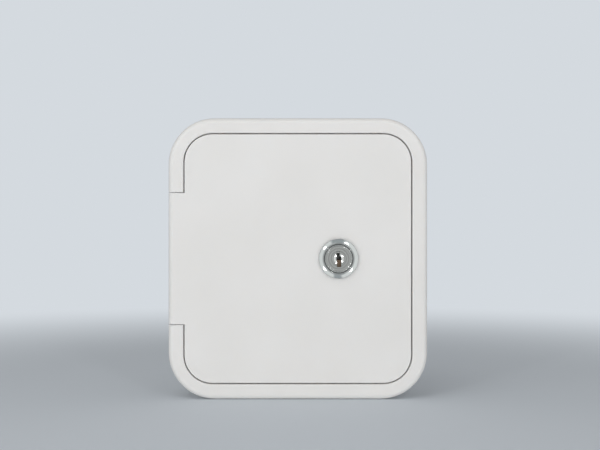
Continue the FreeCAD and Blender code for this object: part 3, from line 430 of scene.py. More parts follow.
class Paint(Graph):
    """A material's nodes."""

    def __init__(self, name: str) -> None:
        """Start from a plain shader.

        Args:
            name: the material's name.
        """
        self.material = bpy.data.materials.new(name)
        self.material.use_nodes = True
        super().__init__(self.material.node_tree)
        self.shader = self.tree.nodes["Principled BSDF"]
        self.place = self.node("ShaderNodeTexCoord").outputs["Object"]

    def shift(self, offset: Vector, stretch: Vector = Vector((1, 1, 1))) -> Socket:
        """Move and stretch the object's coordinates.

        Args:
            offset: the point in metres that becomes the origin.
            stretch: factors along the three axes.

        Returns:
            The new coordinates.
        """
        moved = self.node("ShaderNodeVectorMath", operation="SUBTRACT")
        self.join(self.place, moved.inputs[0])
        moved.inputs[1].default_value = offset
        scaled = self.node("ShaderNodeVectorMath", operation="MULTIPLY")
        self.join(moved.outputs[0], scaled.inputs[0])
        scaled.inputs[1].default_value = stretch
        return scaled.outputs[0]

    def noise(self, size_mm: float, detail: float = 3.0, rough: float = 0.5,
              place: Socket | None = None) -> Socket:
        """Add noise.

        Args:
            size_mm: about how wide its features are.
            detail: how many finer layers it has.
            rough: how strong the finer layers are.
            place: other coordinates than the object's own.

        Returns:
            A value from 0 to 1.
        """
        item = self.node("ShaderNodeTexNoise")
        self.join(place or self.place, item.inputs["Vector"])
        item.inputs["Scale"].default_value = 1 / (size_mm * MM)
        item.inputs["Detail"].default_value = detail
        item.inputs["Roughness"].default_value = rough
        return item.outputs["Fac"]

    def cells(self, size_mm: float, feature: str = "F1") -> Socket:
        """Add cells.

        Args:
            size_mm: about how wide one cell is.
            feature: which distance they give.

        Returns:
            The distance in cells.
        """
        item = self.node("ShaderNodeTexVoronoi", feature=feature)
        self.join(self.place, item.inputs["Vector"])
        item.inputs["Scale"].default_value = 1 / (size_mm * MM)
        return item.outputs["Distance"]

    def rings(self, centre: Vector, pitch_mm: float, waver: float) -> Socket:
        """Add turning marks round an axis that points out of the wall.

        Args:
            centre: a point on the axis.
            pitch_mm: the distance between marks.
            waver: how much they waver.

        Returns:
            A value from 0 to 1.
        """
        item = self.node("ShaderNodeTexWave", wave_type="RINGS", rings_direction="Y")
        self.join(self.shift(centre), item.inputs["Vector"])
        # The wave texture repeats every TURN / 20 of the scaled distance.
        item.inputs["Scale"].default_value = TURN / (20 * pitch_mm * MM)
        item.inputs["Distortion"].default_value = waver
        item.inputs["Detail"].default_value = 2.0
        item.inputs["Detail Scale"].default_value = 1.4
        return item.outputs["Fac"]

    def dents(self, height: Socket, deep_mm: float, strength: float = 1.0,
              under: Socket | None = None) -> Socket:
        """Roughen the surface.

        Args:
            height: the heights, from 0 to 1.
            deep_mm: how deep 0 lies under 1.
            strength: how much of it shows.
            under: dents that this adds to.

        Returns:
            The bent normal.
        """
        item = self.node("ShaderNodeBump")
        item.inputs["Distance"].default_value = deep_mm * MM
        item.inputs["Strength"].default_value = strength
        self.join(height, item.inputs["Height"])
        if under is not None:
            self.join(under, item.inputs["Normal"])
        return item.outputs["Normal"]

    def crevices(self, reach_mm: float, deep: float, shallow: float, share: float) -> Socket:
        """Find narrow gaps and inner corners.

        Args:
            reach_mm: how far a facing surface may be.
            deep: how open a place is, from 0 to 1, where the gap counts in full.
            shallow: how open it is where it stops counting.
            share: what a gap gives where it counts in full.

        Returns:
            The share in a gap, and 0 in the open.
        """
        item = self.node("ShaderNodeAmbientOcclusion", samples=8)
        item.inputs["Distance"].default_value = reach_mm * MM
        return self.spread(item.outputs["AO"], deep, shallow, share, 0.0)

    def set(self, **values: object) -> None:
        """Set constant sockets on the shader.

        Args:
            values: the sockets' values, each named with _ for a space.
        """
        for key, value in values.items():
            name = key.replace("_", " ").title().replace("Ior", "IOR")
            self.shader.inputs[name].default_value = value

    def feed(self, name: str, socket: Socket) -> None:
        """Link a value to one of the shader's sockets."""
        self.join(socket, self.shader.inputs[name])


def shaded(colour: Colour, factor: float, tint: Colour = (1.0, 1.0, 1.0)) -> Colour:
    """Darken or tint a colour.

    Args:
        colour: the colour.
        factor: what each part is multiplied by.
        tint: a further factor for each part.

    Returns:
        The new colour.
    """
    return tuple(part * factor * share for part, share in zip(colour, tint))


@dataclass(frozen=True)
class Finish:
    """A finish: the name of the record's slot, its colour and how matt it is."""

    name: str
    colour: Colour
    matt: float

    def make(self) -> bpy.types.Material:
        """Make the material.

        Returns:
            The new material.
        """
        paint = Paint(self.name)
        self.lay(paint)
        return paint.material

    def lay(self, paint: Paint) -> None:
        """Lay the finish's nodes.

        Args:
            paint: the material's nodes, to add to.
        """
        raise NotImplementedError


@dataclass(frozen=True)
class MouldedPlastic(Finish):
    """Moulded plastic with a fine grain, faint flow marks and another tone deep in its seams, which
    on white plastic is painted light.
    """

    grain_mm: float = 0.35
    grain_deep_mm: float = 0.006
    flow_mm: float = 38.0
    smear_mm: float = 9.0
    sink_mm: float = 55.0
    seam_reach_mm: float = 3.0
    seam: Colour = (0.46, 0.44, 0.41)
    seam_tone_and_light_share: float = 0.12
    glow: float = 0.0
    glow_mm: float = 2.0

    def lay(self, paint: Paint) -> None:
        """Lay the finish's nodes.

        Args:
            paint: the material's nodes, to add to.
        """
        flow = paint.spread(paint.noise(self.flow_mm, 2.0, 0.4), 0.3, 0.7, 0, 1)
        tone = paint.mixed(flow, shaded(self.colour, 0.985, (1, 0.998, 0.992)),
                           shaded(self.colour, 1.012))
        # Another tone in seams and inner corners; on the white plastic it is lighter than the
        # plastic, painted light standing in for light scattered into its seams.
        gap = paint.crevices(self.seam_reach_mm, 0.05, 0.55, self.seam_tone_and_light_share)
        paint.feed("Base Color", paint.mixed(gap, tone, self.seam))
        smear = paint.noise(self.smear_mm, 4.0, 0.6)
        paint.feed("Roughness", paint.spread(smear, 0.25, 0.75, self.matt - 0.05, self.matt + 0.07))
        sink = paint.dents(paint.noise(self.sink_mm, 1.0, 0.4), 0.05, 0.35)
        grain = paint.noise(self.grain_mm, 2.0, 0.6)
        paint.feed("Normal", paint.dents(grain, self.grain_deep_mm, 0.8, sink))
        paint.set(ior=1.5, specular_ior_level=0.5, subsurface_weight=self.glow,
                  subsurface_scale=self.glow_mm * MM, subsurface_radius=(1.0, 0.95, 0.9))


@dataclass(frozen=True)
class PlatedMetal(Finish):
    """Plated metal with fine scratches and a faint haze."""

    scratch: float = 0.25
    haze: float = 0.06
    cloud_mm: float = 5.0
    scratch_mm: float = 0.12
    scratch_long: float = 0.12

    def lay(self, paint: Paint) -> None:
        """Lay the finish's nodes.

        Args:
            paint: the material's nodes, to add to.
        """
        cloud = paint.noise(self.cloud_mm, 4.0, 0.6)
        paint.feed("Base Color", paint.mixed(cloud, shaded(self.colour, 0.94),
                                             shaded(self.colour, 1.04)))
        drawn = paint.shift(Vector(), Vector((1.0, 1.0, self.scratch_long)))
        line = paint.noise(self.scratch_mm, 3.0, 0.7, drawn)
        paint.feed("Roughness", paint.spread(cloud, 0.3, 0.7, self.matt, self.matt + self.haze))
        paint.feed("Normal", paint.dents(line, 0.002, self.scratch))
        paint.set(metallic=1.0)


@dataclass(frozen=True)
class TurnedMetal(Finish):
    """Metal with turning marks round an axis that points out of the wall, and painted shade that
    darkens its slots nearly to black.
    """

    centre: Vector = field(default_factory=Vector)
    pitch_mm: float = 0.3
    deep_mm: float = 0.003
    broad: float = 5.3
    slot_shade: Colour = (0.02, 0.018, 0.015)
    slot_shade_reach_mm: float = 4.0
    slot_shade_share: float = 0.98

    def lay(self, paint: Paint) -> None:
        """Lay the finish's nodes.

        Args:
            paint: the material's nodes, to add to.
        """
        marks = paint.rings(self.centre, self.pitch_mm, 0.6)
        broad = paint.rings(self.centre, self.pitch_mm * self.broad, 1.6)
        tone = paint.mixed(broad, shaded(self.colour, 0.88), shaded(self.colour, 1.08))
        # Painted shade: slots, the keyway and narrow gaps are darkened nearly to black.
        slot = paint.crevices(self.slot_shade_reach_mm, 0.25, 0.7, self.slot_shade_share)
        paint.feed("Base Color", paint.mixed(slot, tone, self.slot_shade))
        paint.feed("Roughness", paint.spread(marks, 0, 1, self.matt - 0.04, self.matt + 0.08))
        fine = paint.dents(paint.noise(0.2, 3.0, 0.6), 0.003, 0.5)
        paint.feed("Normal", paint.dents(marks, self.deep_mm, 0.6, fine))
        paint.set(metallic=1.0)


@dataclass(frozen=True)
class ZincPlate(Finish):
    """Bright zinc plate, spangled and faintly blue and yellow."""

    hue_mm: float = 7.0
    spangle_mm: float = 1.8
    blue: Colour = (0.93, 0.97, 1.04)
    yellow: Colour = (1.05, 1.0, 0.86)

    def lay(self, paint: Paint) -> None:
        """Lay the finish's nodes.

        Args:
            paint: the material's nodes, to add to.
        """
        tone = paint.mixed(paint.noise(self.hue_mm, 2.0, 0.5), shaded(self.colour, 1.0, self.blue),
                           shaded(self.colour, 1.0, self.yellow))
        spangle = paint.cells(self.spangle_mm)
        paint.feed("Base Color", paint.mixed(paint.spread(spangle, 0, 1, 0, 0.35), tone,
                                             shaded(self.colour, 0.8)))
        paint.feed("Roughness", paint.spread(spangle, 0.1, 0.8, self.matt - 0.05, self.matt + 0.1))
        paint.feed("Normal", paint.dents(paint.noise(0.3, 4.0, 0.6), 0.006, 0.6))
        paint.set(metallic=1.0)


@dataclass(frozen=True)
class StampedBrass(Finish):
    """Brass sheet, worn bright and browned in its corners."""

    cloud_mm: float = 1.2
    brown: Colour = (0.12, 0.07, 0.03)
    brown_reach_mm: float = 1.0
    brown_share: float = 0.6

    def lay(self, paint: Paint) -> None:
        """Lay the finish's nodes.

        Args:
            paint: the material's nodes, to add to.
        """
        cloud = paint.noise(self.cloud_mm, 4.0, 0.6)
        tone = paint.mixed(paint.spread(cloud, 0.35, 0.65, 0, 1),
                           shaded(self.colour, 0.7, (1, 0.9, 0.75)), self.colour)
        corner = paint.crevices(self.brown_reach_mm, 0.0, 0.8, self.brown_share)
        paint.feed("Base Color", paint.mixed(corner, tone, self.brown))
        paint.feed("Roughness", paint.spread(cloud, 0.2, 0.8, self.matt - 0.06, self.matt + 0.12))
        paint.feed("Normal", paint.dents(paint.noise(0.15, 3.0, 0.6), 0.004, 0.6))
        paint.set(metallic=1.0)


@dataclass(frozen=True)
class SoftRubber(Finish):
    """Rubber with a skin of fine pits and a dusty bloom."""

    pit_mm: float = 0.3
    bloom: float = 0.35
    bloom_mm: float = 6.0
    wave_mm: float = 3.0

    def lay(self, paint: Paint) -> None:
        """Lay the finish's nodes.

        Args:
            paint: the material's nodes, to add to.
        """
        cloud = paint.noise(self.bloom_mm, 4.0, 0.65)
        bloomed = paint.spread(cloud, 0.4, 0.75, 0, self.bloom)
        paint.feed("Base Color", paint.mixed(bloomed, self.colour,
                                             shaded(self.colour, 1.9, (1.0, 0.98, 0.95))))
        paint.feed("Roughness", paint.spread(cloud, 0.3, 0.7, self.matt - 0.06, self.matt + 0.08))
        wave = paint.dents(paint.noise(self.wave_mm, 2.0, 0.5), 0.05, 0.5)
        paint.feed("Normal", paint.dents(paint.noise(self.pit_mm, 2.0, 0.6), 0.012, 0.7, wave))
        paint.set(specular_ior_level=0.35, sheen_weight=0.15, sheen_roughness=0.6)


@dataclass(frozen=True)
class ButylTape(Finish):
    """Tacky sealing tape, lumpy and pressed."""

    cloud_mm: float = 4.0
    lump_mm: float = 2.2
    weave_mm: float = 1.1

    def lay(self, paint: Paint) -> None:
        """Lay the finish's nodes.

        Args:
            paint: the material's nodes, to add to.
        """
        cloud = paint.noise(self.cloud_mm, 5.0, 0.6)
        paint.feed("Base Color", paint.mixed(cloud, shaded(self.colour, 0.82),
                                             shaded(self.colour, 1.12)))
        paint.feed("Roughness", paint.spread(cloud, 0.3, 0.7, self.matt - 0.1, self.matt + 0.1))
        lumps = paint.dents(paint.noise(self.lump_mm, 3.0, 0.55), 0.25, 0.7)
        paint.feed("Normal", paint.dents(paint.cells(self.weave_mm, "SMOOTH_F1"), 0.05, 0.4, lumps))


LOCK_RIGHT = 25.9
CAP_RIGHT = -26.0
CAP_UP = -16.0
VENT_UP = 36.0
ANCHOR_DROP = 41.0

FINISHES: tuple[Finish, ...] = (
    # The white plastic's seam tone is lighter than the plastic: painted light in its seams.
    MouldedPlastic("white_plastic", (0.80, 0.785, 0.765), 0.38, seam=(0.93, 0.91, 0.90),
                   seam_tone_and_light_share=0.6, glow=0.5),
    MouldedPlastic("screen_plastic", (0.72, 0.72, 0.70), 0.45),
    MouldedPlastic("black_plastic", (0.030, 0.030, 0.033), 0.42, grain_mm=0.5, grain_deep_mm=0.015,
                   seam=(0.09, 0.088, 0.082), seam_tone_and_light_share=0.4),
    SoftRubber("strap_plastic", (0.028, 0.028, 0.030), 0.55, pit_mm=0.4, bloom=0.25),
    SoftRubber("seal_rubber", (0.035, 0.035, 0.037), 0.78),
    ButylTape("butyl_tape", (0.40, 0.40, 0.38), 0.6),
    PlatedMetal("lock_chrome", (0.78, 0.80, 0.80), 0.05, scratch=0.04),
    TurnedMetal("plug_metal", (0.77, 0.78, 0.77), 0.19, centre=spot(LOCK_RIGHT, 0, 0)),
    StampedBrass("wafer_brass", (0.50, 0.37, 0.29), 0.32),
    ZincPlate("zinc_steel", (0.62, 0.63, 0.64), 0.30),
    PlatedMetal("stainless", (0.66, 0.66, 0.65), 0.24, scratch=0.4, haze=0.1),
)


class Wardrobe:
    """Makes each finish once and puts it on pieces."""

    def __init__(self, finishes: Sequence[Finish]) -> None:
        """Make every finish.

        Args:
            finishes: the finishes.
        """
        self.made = {finish.name: finish.make() for finish in finishes}

    def dress(self, piece: Piece, slot: str) -> None:
        """Put a finish on a piece.

        Args:
            piece: the object.
            slot: the finish's name.
        """
        if not piece.material_slots:
            piece.data.materials.append(self.made[slot])
        for place in piece.material_slots:
            place.material = self.made[slot]
        log.info("piece %s: %d faces, %s", piece.name, len(piece.data.polygons), slot)

    def dress_solids(self, slots: dict[str, str]) -> None:
        """Put finishes on the solids that show as they are.

        Args:
            slots: the finish's name for each node.
        """
        for node, slot in slots.items():
            self.dress(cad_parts[node], slot)

    def add(self, piece: Piece, slot: str, body: Body | None, *replaced: str) -> None:
        """Put a finish on a new piece and set it on its body.

        Args:
            piece: the new object.
            slot: the finish's name.
            body: the body that it rides on, or None where it bends between two.
            replaced: the solids that it stands for.
        """
        self.dress(piece, slot)
        if replaced:
            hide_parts(*replaced)
        if body is not None:
            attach(piece, body.value)


# Fasteners, threads and mesh


@dataclass(frozen=True)
class ThreadForm:
    """A thread: its crest and root radii and its pitch, in millimetres."""

    crest: float
    root: float
    pitch: float

    def reach(self, level: float, angle: float) -> float:
        """Give the surface's radius.

        Args:
            level: the place along the axis.
            angle: the place round it, in radians.

        Returns:
            The radius in millimetres.
        """
        phase = (level / self.pitch - angle / TURN) % 1.0
        rise = 1 - abs(2 * phase - 1)
        return self.root + (self.crest - self.root) * smooth_step(rise, 0.25, 0.85)


@dataclass(frozen=True)
class CrossScrew:
    """A pan-headed screw with a cross recess.

    Its head lies in front of the level that it presses on, or behind it where facing is -1.
    The recess is a row of (share of the arms' length, depth), and its floor is (share of the
    arms' length, share of the head's height).
    """

    head_radius: float
    head_tall: float
    thread: ThreadForm
    long: float
    point: float
    arm: float
    slot_wide: float
    facing: int = 1
    dome_start: float = 12.0
    dome_steps: int = 8
    dome_share: float = 0.65
    fillet: float = 0.15
    plain: float = 0.3
    run_in: Range = (0.2, 1.2)
    tip: float = 0.04
    tip_long: float = 0.05
    recess: tuple[Point, ...] = ((1.15, -0.4), (1.0, 0.25))
    recess_floor: Point = (0.45, 0.85)
    rows_per_pitch: int = 8
    segments: int = 40

    def make(self, name: str, right: float, up: float, under: float) -> Piece:
        """Make the screw.

        Args:
            name: the object's name.
            right: its axis's place across.
            up: its axis's place above the middle.
            under: the level of the head's underside.

        Returns:
            The new object.
        """
        root = self.thread.root
        first = math.radians(self.dome_start)
        head = [(0.0, self.head_tall)]
        for step in range(self.dome_steps + 1):
            angle = first + (TURN / 4 - first) * step / self.dome_steps
            domed = self.dome_share * math.cos(angle) / math.cos(first)
            head.append((self.head_radius * math.sin(angle),
                         self.head_tall * (1 - self.dome_share + domed)))
        head += [(self.head_radius, 0.0), (root + self.fillet, 0.0)]
        rows = max(int(self.long / self.thread.pitch * self.rows_per_pitch), 4)
        shank = [(root, -self.plain - (self.long - self.plain) * row / rows)
                 for row in range(rows + 1)]

        def threaded(radius: float, level: float, angle: float) -> float:
            """Give the shank its thread, and draw it in to its point.

            Args:
                radius: the plain screw's radius.
                level: the level there.
                angle: the place round the axis, in radians.

            Returns:
                The screw's radius there.
            """
            deep = (under - level) * self.facing
            if deep < self.run_in[0]:
                return radius
            taper = 1.0
            if self.point:
                taper = min(1.0, max(self.tip, (self.long - deep) / self.point))
            full = self.thread.reach(level, angle)
            return (root + (full - root) * smooth_step(deep, *self.run_in)) * taper

        rings = [(radius, under + level * self.facing) for radius, level in head + shank]
        rings.append((0.0, rings[-1][1] - self.tip_long * self.facing))
        draft = Draft()
        draft.turned(rings, right, up, self.segments, threaded)
        screw = draft.make(name, 30.0)
        carve(screw, self.cross(right, up, under + self.head_tall * self.facing))
        return screw

    def cross(self, right: float, up: float, top: float) -> Piece:
        """Make the cutter for the cross recess.

        Args:
            right: the screw's place across.
            up: the screw's place above the middle.
            top: the level of the head's top.

        Returns:
            The cutter.
        """
        half = self.slot_wide / 2
        outline = []
        for turn in range(4):
            cosine, sine = math.cos(turn * TURN / 4), math.sin(turn * TURN / 4)
            for along, aside in ((self.arm, -half), (self.arm, half), (half, half)):
                outline.append((along * cosine - aside * sine, along * sine + aside * cosine))
        floor = (self.recess_floor[0], self.head_tall * self.recess_floor[1])
        draft = Draft()
        draft.capped([draft.add([spot(right + x * share, up + z * share, top - deep * self.facing)
                                 for x, z in outline])
                      for share, deep in (*self.recess, floor)])
        return draft.make("cross_cutter", 30.0)


@dataclass(frozen=True)
class HelixRidge:
    """A thread ridge that winds round a neck or inside a cap."""

    base_radius: float
    crest_radius: float
    pitch: float
    turns: float
    base_wide: float = 2.0
    crest_wide: float = 0.9
    sunk: float = 0.15
    fade_turns: float = 0.12
    least: float = 0.02
    steps_per_turn: int = 72

    def make(self, name: str, right: float, up: float, start: float) -> Piece:
        """Make the ridge.

        Args:
            name: the object's name.
            right: its axis's place across.
            up: its axis's place above the middle.
            start: the level of the first turn's middle.

        Returns:
            The new object.
        """
        base, high = self.base_radius, self.crest_radius - self.base_radius
        inside = base - math.copysign(self.sunk, high)
        wide, narrow = self.base_wide / 2, self.crest_wide / 2
        draft = Draft()
        rows = []
        for step in range(int(self.turns * self.steps_per_turn) + 1):
            turn = step / self.steps_per_turn
            angle = TURN * turn
            level = start - self.pitch * turn
            grown = min(smooth_step(turn, 0, self.fade_turns),
                        smooth_step(self.turns - turn, 0, self.fade_turns))
            crest = base + high * max(grown, self.least)
            section = ((inside, wide), (base, wide), (crest, narrow),
                       (crest, -narrow), (base, -wide), (inside, -wide))
            rows.append(draft.add([spot(right + radius * math.cos(angle),
                                        up + radius * math.sin(angle), level + rise)
                                   for radius, rise in section]))
        draft.capped(rows)
        return draft.make(name, 25.0)


class Weave(Enum):
    """The two ways that a mesh's wires run."""

    ACROSS = 0
    UP = 1


@dataclass(frozen=True)
class WireMesh:
    """A round piece of woven wire mesh."""

    reach: float
    pitch: float
    wire: float
    wave: float = 0.9
    sides: int = 5

    def make(self, name: str, right: float, up: float, level: float) -> Piece:
        """Weave the mesh.

        Args:
            name: the object's name.
            right: its middle's place across.
            up: its middle's place above the hatch's middle.
            level: its level.

        Returns:
            The new object.
        """
        draft = Draft()
        count = int(self.reach / self.pitch)
        for way in Weave:
            for number in range(-count, count + 1):
                draft.skin([draft.add([spot(right + x, up + z, level + rise)
                                       for x, z, rise in ring])
                            for ring in self.rings(way, number)])
        return draft.make(name)

    def rings(self, way: Weave, number: int) -> list[list[tuple[float, float, float]]]:
        """Give the rings of corners along one wire.

        Args:
            way: which way the wire runs.
            number: its number from the middle one.

        Returns:
            Rings of points as (across, up, rise) from the mesh's middle.
        """
        aside = number * self.pitch
        half = math.sqrt(max(self.reach ** 2 - aside ** 2, 0.01))
        steps = max(int(half * 2 / self.pitch * 2), 2)
        rings = []
        for step in range(steps + 1):
            along = -half + 2 * half * step / steps
            phase = along / self.pitch + number + way.value
            lift = self.wire * self.wave * math.cos(math.pi * phase)
            ring = []
            for side in range(self.sides):
                angle = TURN * side / self.sides
                off, rise = self.wire * math.cos(angle), self.wire * math.sin(angle) + lift
                place = (along, aside + off) if way is Weave.ACROSS else (aside + off, along)
                ring.append((*place, rise))
            rings.append(ring)
        return rings


def rounded_loop(wide: float, tall: float, corner: float, corner_steps: int = 14,
                 side_steps: int = 6) -> list[tuple[float, float, float, float]]:
    """Walk round a box with round corners.

    Args:
        wide: its width in millimetres.
        tall: its height.
        corner: its corner radius.
        corner_steps: how many steps each corner takes.
        side_steps: how many steps each side takes.

    Returns:
        Points as (across, up, outward across, outward up).
    """
    arcs = []
    for turn, (sign_x, sign_y) in enumerate(((1, 1), (-1, 1), (-1, -1), (1, -1))):
        middle_x, middle_y = sign_x * (wide / 2 - corner), sign_y * (tall / 2 - corner)
        arc = []
        for step in range(corner_steps + 1):
            angle = TURN / 4 * (turn + step / corner_steps)
            out_x, out_y = math.cos(angle), math.sin(angle)
            arc.append((middle_x + corner * out_x, middle_y + corner * out_y, out_x, out_y))
        arcs.append(arc)
    walk = []
    for arc, following in zip(arcs, arcs[1:] + arcs[:1]):
        walk += arc
        walk += [(*between(arc[-1], following[0], step / side_steps), *arc[-1][2:])
                 for step in range(1, side_steps)]
    return walk


# Sub-assemblies


@dataclass
class HatchFrame:
    """The housing in the wall, with its screws, tape, pins, filler neck and vent."""

    wardrobe: Wardrobe
    plate: float = 3.0
    screw_across: float = 61.5
    screw_up: float = 68.5
    neck_top: float = -27.0
    neck_radius: float = 19.5
    thread_high: float = 1.0
    thread_pitch: float = 5.0
    thread_turns: float = 1.8
    thread_start: float = 2.6
    anchor_under: float = -39.2
    mesh_level: float = -40.55
    mounting: CrossScrew = CrossScrew(
        head_radius=4.0, head_tall=2.4, thread=ThreadForm(crest=2.05, root=1.5, pitch=1.6),
        long=22.0, point=4.0, arm=2.0, slot_wide=0.95)
    anchor: CrossScrew = CrossScrew(
        head_radius=4.0, head_tall=2.2, thread=ThreadForm(crest=1.5, root=1.1, pitch=1.1),
        long=7.3, point=1.5, arm=1.7, slot_wide=0.8)
    insect_mesh: WireMesh = WireMesh(reach=8.2, pitch=0.9, wire=0.11)
    solids: dict[str, str] = field(default_factory=lambda: {
        "housing": "white_plastic",
        "sealing_tape": "butyl_tape",
        "hinge_pin_upper": "stainless",
        "hinge_pin_lower": "stainless",
        "filler_neck": "white_plastic",
        "vent_neck": "white_plastic",
        "vent_screen": "screen_plastic",
        "keeper": "white_plastic",
        "keeper_rivets": "stainless",
    })

    def build(self) -> None:
        """Make and dress every piece."""
        self.wardrobe.dress_solids(self.solids)
        self.make_screws()
        self.make_neck_thread()
        self.make_vent_mesh()

    def make_screws(self) -> None:
        """Make the four mounting screws and the strap's screw."""
        singles = [self.mounting.make(f"screw_{across}_{up}", self.screw_across * across,
                                      self.screw_up * up, self.plate)
                   for across in (-1, 1) for up in (-1, 1)]
        four = joined("mounting_screws_threaded", singles)
        self.wardrobe.add(four, "stainless", Body.FRAME, "mounting_screws")
        single = self.anchor.make("strap_screw_threaded", CAP_RIGHT, CAP_UP - ANCHOR_DROP,
                                  self.anchor_under)
        self.wardrobe.add(single, "stainless", Body.FRAME, "strap_screw")

    def make_neck_thread(self) -> None:
        """Wind the coarse thread round the filler neck."""
        ridge = HelixRidge(self.neck_radius, self.neck_radius + self.thread_high,
                           self.thread_pitch, self.thread_turns)
        piece = ridge.make("neck_thread", CAP_RIGHT, CAP_UP, self.neck_top - self.thread_start)
        self.wardrobe.add(piece, "white_plastic", Body.FRAME)

    def make_vent_mesh(self) -> None:
        """Lay the fine insect mesh behind the vent's screen."""
        piece = self.insect_mesh.make("vent_insect_mesh", CAP_RIGHT, VENT_UP, self.mesh_level)
        self.wardrobe.add(piece, "stainless", Body.FRAME)


@dataclass
class HatchDoor:
    """The door with the seal on its back."""

    wardrobe: Wardrobe
    seal_wide: float = 125.5
    seal_tall: float = 139.5
    seal_corner: float = 27.75
    seal_back: float = 8.4
    seal_front: float = 5.5
    seal_half: float = 2.0
    foot_thick: float = 0.7
    neck_drop: float = 0.9
    neck_share: float = 0.82
    bulb_drop: float = 1.3
    bulb_share: float = 0.86
    bulb_steps: int = 8

    def build(self) -> None:
        """Make and dress every piece."""
        self.wardrobe.dress_solids({"door": "white_plastic"})
        self.make_seal()

    def make_seal(self) -> None:
        """Sweep the seal: a flat foot and a hollow-looking bulb."""
        back, half = self.seal_back, self.seal_half
        foot, neck = back - self.foot_thick, back - self.neck_drop
        bulb = back - self.bulb_drop
        section = [(-half, back), (-half, foot), (-half * self.neck_share, neck)]
        for step in range(self.bulb_steps + 1):
            angle = TURN / 2 * step / self.bulb_steps
            section.append((-half * self.bulb_share * math.cos(angle),
                            bulb - (bulb - self.seal_front) * math.sin(angle)))
        section += [(half * self.neck_share, neck), (half, foot), (half, back)]
        draft = Draft()
        rows = [draft.add([spot(across + out_x * off, up + out_y * off, level)
                           for off, level in section])
                for across, up, out_x, out_y in rounded_loop(self.seal_wide, self.seal_tall,
                                                             self.seal_corner)]
        draft.skin(rows, round_columns=True)
        piece = draft.make("door_bulb_seal", 40.0)
        self.wardrobe.add(piece, "seal_rubber", Body.DOOR, "door_seal")


